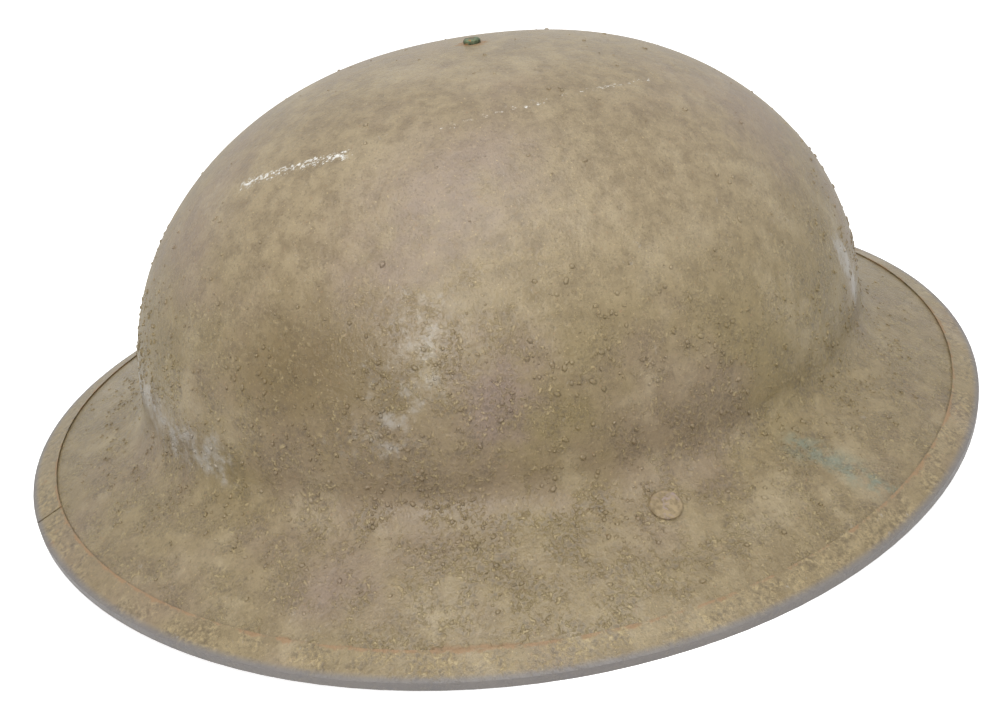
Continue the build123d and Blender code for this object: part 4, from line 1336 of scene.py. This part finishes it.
def makeLongStrap():
    s, k = strapSizes, strapLines
    middle, hinge, far = longLine()
    strap = sweepStrap("longStrap", mirroredLine(bailEye()) + middle[1:])
    # the tail's end is cut to a blunt point
    tip, back = middle[-1], (middle[-2] - middle[-1]).normalized()
    for vertex in strap.data.vertices:
        spot = flat(vertex.co.x, vertex.co.z) - tip
        along, aside = spot.dot(back), abs(vertex.co.y - k["y"]) / (s["width"] / 2)
        if -1e-4 < along < s["tip"] and spot.length < 1.2 * s["tip"]:
            trim = max(0.0, 1 - along / s["tip"]) ** 2
            vertex.co.y = k["y"] + (vertex.co.y - k["y"]) * (1 - 0.45 * trim * aside)
    unsettle(strap, 0.00018, 120, 9.0)
    runs = [0.0]
    for a, b in zip(middle[:-1], middle[1:]):
        runs.append(runs[-1] + (b - a).length)
    places = []
    for step in s["holeSteps"]:
        want = runs[-1] - s["tail"] * k["run"] - step * s["holePitch"]
        n = max(1, min(len(middle) - 2, int(np.searchsorted(runs, want))))
        share = (want - runs[n - 1]) / (runs[n] - runs[n - 1])
        ahead = (middle[n + 1] - middle[n - 1]).normalized()
        places.append((upright(middle[n - 1].lerp(middle[n], share)), Vector((-ahead.y, 0, ahead.x))))
    punch(strap, places, s["hole"] / 2)
    along = (far - hinge).normalized()
    lift = (s["buckleWire"] + s["tongueWire"]) / 2 + s["run"]
    tongue = hinge + flat(-along.y, along.x) * lift + along * (s["buckleLength"] / 2)
    punch(strap, [(upright(tongue), Vector((along.x, 0, along.y)))], s["tongueWire"] / 2 + s["soft"])
    dress(strap, ["chin_strap_long"], None)
    return strap


def sewStrap(name, places):
    return sewRow(name, places, strapStitchSizes["long"], strapStitchSizes["thick"], threadFinish)


def makeKeeper():
    s, k, sewn = strapSizes, strapLines, strapStitchSizes
    half = (s["thick"] + tailOut) / 2 + s["soft"] + s["keeperThick"] / 2
    side = s["width"] / 2 + s["soft"] + s["keeperThick"] / 2
    place = upright(strapSpot((s["bucklePlace"] - s["keeperPlace"]) * k["run"], tailOut / 2))
    out, wide, up = Vector((k["face"].x, 0, k["face"].y)), Vector((0, 1, 0)), Vector((k["up"].x, 0, k["up"].y))
    corner, ring = 0.0011, []
    for cx, cy, first in ((1, 1, 0), (-1, 1, 90), (-1, -1, 180), (1, -1, 270)):
        for a in np.radians(np.linspace(first, first + 90, 6)):
            ring.append(flat(cx * (half - corner) + corner * math.cos(a), cy * (side - corner) + corner * math.sin(a)))
    dense = []
    for a, b in zip(ring, ring[1:] + ring[:1]):
        count = max(1, int((b - a).length / 0.0009))
        dense += [a.lerp(b, n / count) for n in range(count)]
    stations = []
    for n, p in enumerate(dense):
        ahead = (dense[(n + 1) % len(dense)] - dense[n - 1]).normalized()
        stations.append((place + out * p.x + wide * p.y, out * ahead.y - wide * ahead.x, up))
    thick, tall, soft = s["keeperThick"] / 2, s["keeperWidth"] / 2, 0.00035
    profile = [(thick, tall * q) for q in (-0.86, -0.43, 0, 0.43, 0.86)] + [(thick - soft, tall), (-thick + soft, tall)]
    profile += [(-a, -b) for a, b in profile]
    dress(sweepProfile("strapKeeper", stations, profile, True, strapHide), ["strap_keeper"], "keeper")
    rows = []
    for lift in sewn["keeperRows"]:
        at = place - out * (half + thick + sewn["keeperProud"]) + up * (tall * 2 * lift)
        rows += [(at + wide * (w * sewn["keeperPitch"]), turnOf(wide, -out)) for w in (-1, 0, 1)]
    dress(sewStrap("keeperStitches", rows), body="keeper")


def strapStitches():
    # two rows across each lap, through both leaves
    s, k, sewn = strapSizes, strapLines, strapStitchSizes
    bail, hinge = (s["bailWire"], k["bar"], k["heading"], k["below"]), strapSpot(buckleAt, hingeOut)
    made = {"right": [], "left": [], "buckle": []}
    for name, mirror, (wireSize, origin, toward, up) in (
        ("right", 1, bail), ("left", -1, bail), ("buckle", 1, (s["buckleWire"], hinge, -k["up"], k["face"])),
    ):
        leaf = wireSize / 2 + s["soft"] + s["thick"] / 2
        faces = ((leaf + s["thick"] / 2, 1), (leaf - 1.5 * s["thick"] - s["seat"], -1))
        for along in sewn["rows"]:
            for level, facing in faces:
                spot = origin + toward * along + up * level
                out = Vector((up.x * facing * mirror, 0, up.y * facing))
                for n in range(-3, 4):
                    at = Vector((spot.x * mirror, k["y"] + n * sewn["pitch"], spot.y))
                    made[name].append((at - out * sewn["sunk"], turnOf(Vector((0, 1, 0)), out)))
    return {name: sewStrap(name + "StrapStitches", places) for name, places in made.items()}


shortStrap = makeShortStrap()
longStrap = makeLongStrap()
makeKeeper()
stitchesMade = strapStitches()
for body, side, piece in (("bail_right", 1, shortStrap), ("bail_left", -1, longStrap)):
    threads = stitchesMade[body.removeprefix("bail_")]
    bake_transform(piece)
    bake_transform(threads)
    dress(threads, body=None)
dress(stitchesMade["buckle"])
print("chin strap is made")

# lumps of grit that stand out of the paint, mostly low on the bowl
gritSizes = {
    "density": 330000.0, "clusters": 88.0, "smallest": 0.00024, "largest": 0.00078, "flatness": 0.6, "seed": 11,
}


def gritTree():
    tree, given, out = startTree("paintGrit", [
        ("Density", "Float"), ("Clusters", "Float"), ("Smallest", "Float"), ("Largest", "Float"), ("Flatness", "Float"),
        ("Seed", "Int"), ("Paint", "Material"),
    ])

    def anyOf(low, high, seedStep=0):
        seed = plus(tree, given["Seed"], seedStep) if seedStep else given["Seed"]
        made = put(tree, "FunctionNodeRandomValue", {2: low, 3: high, "Seed": seed}, data_type="FLOAT")
        return made.outputs[1]

    look = {"Vector": here(tree), "Scale": given["Clusters"], "Detail": 3.0, "Roughness": 0.62}
    groups = band(tree, put(tree, "ShaderNodeTexNoise", look).outputs[0], 0.44, 0.62)
    share = put(tree, "GeometryNodeInputNamedAttribute", {"Name": "lumps"}, data_type="FLOAT").outputs[0]
    thick = times(tree, times(tree, groups, share), given["Density"])
    strewn = {0: given["Geometry"], "Density": thick, "Seed": given["Seed"]}
    spread = put(tree, "GeometryNodeDistributePointsOnFaces", strewn, distribute_method="RANDOM")
    lump = put(tree, "GeometryNodeMeshUVSphere", {"Segments": 6, "Rings": 4, "Radius": 1.0})
    grown = times(tree, sums(tree, "POWER", anyOf(0.0, 1.0), 3.2), minus(tree, given["Largest"], given["Smallest"]))
    size = plus(tree, given["Smallest"], grown)
    scale = vectorOf(tree, times(tree, size, anyOf(0.8, 1.6, 1)), size, times(tree, size, given["Flatness"]))
    turned = put(tree, "FunctionNodeRotateRotation", {0: spread.outputs["Rotation"]}, rotation_space="LOCAL")
    wire(tree, vectorOf(tree, z=anyOf(0.0, 6.28, 2)), turned.inputs[1])
    placed = put(tree, "GeometryNodeInstanceOnPoints", {
        0: spread.outputs["Points"], "Instance": lump.outputs["Mesh"], "Rotation": turned.outputs[0], "Scale": scale,
    })
    roughen = vectorSums(tree, "SUBTRACT", ripple(tree, 1400.0, 1.0, 1), (0.5, 0.5, 0.5))
    uneven = nudged(tree, realized(tree, placed.outputs[0]), scaled(tree, roughen, given["Smallest"]))
    endTree(tree, out, uneven, given["Paint"])
    return tree


def makeGrit():
    s = gritSizes
    holder = bpy.data.objects.new("gritHolder", pressedShell.data.copy())
    scene.collection.objects.link(holder)
    grit = runTree(holder, gritTree(), {
        "Density": s["density"], "Clusters": s["clusters"], "Smallest": s["smallest"], "Largest": s["largest"],
        "Flatness": s["flatness"], "Seed": s["seed"], "Paint": shellFinish,
    }, "paintGrit")
    dress(grit)
    print("grit", len(grit.data.polygons) // 24, "lumps")


makeGrit()

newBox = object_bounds()
for label, box in (("cad box", cadBox), ("visual box", newBox)):
    print(label, [round(c, 4) for p in box for c in p])
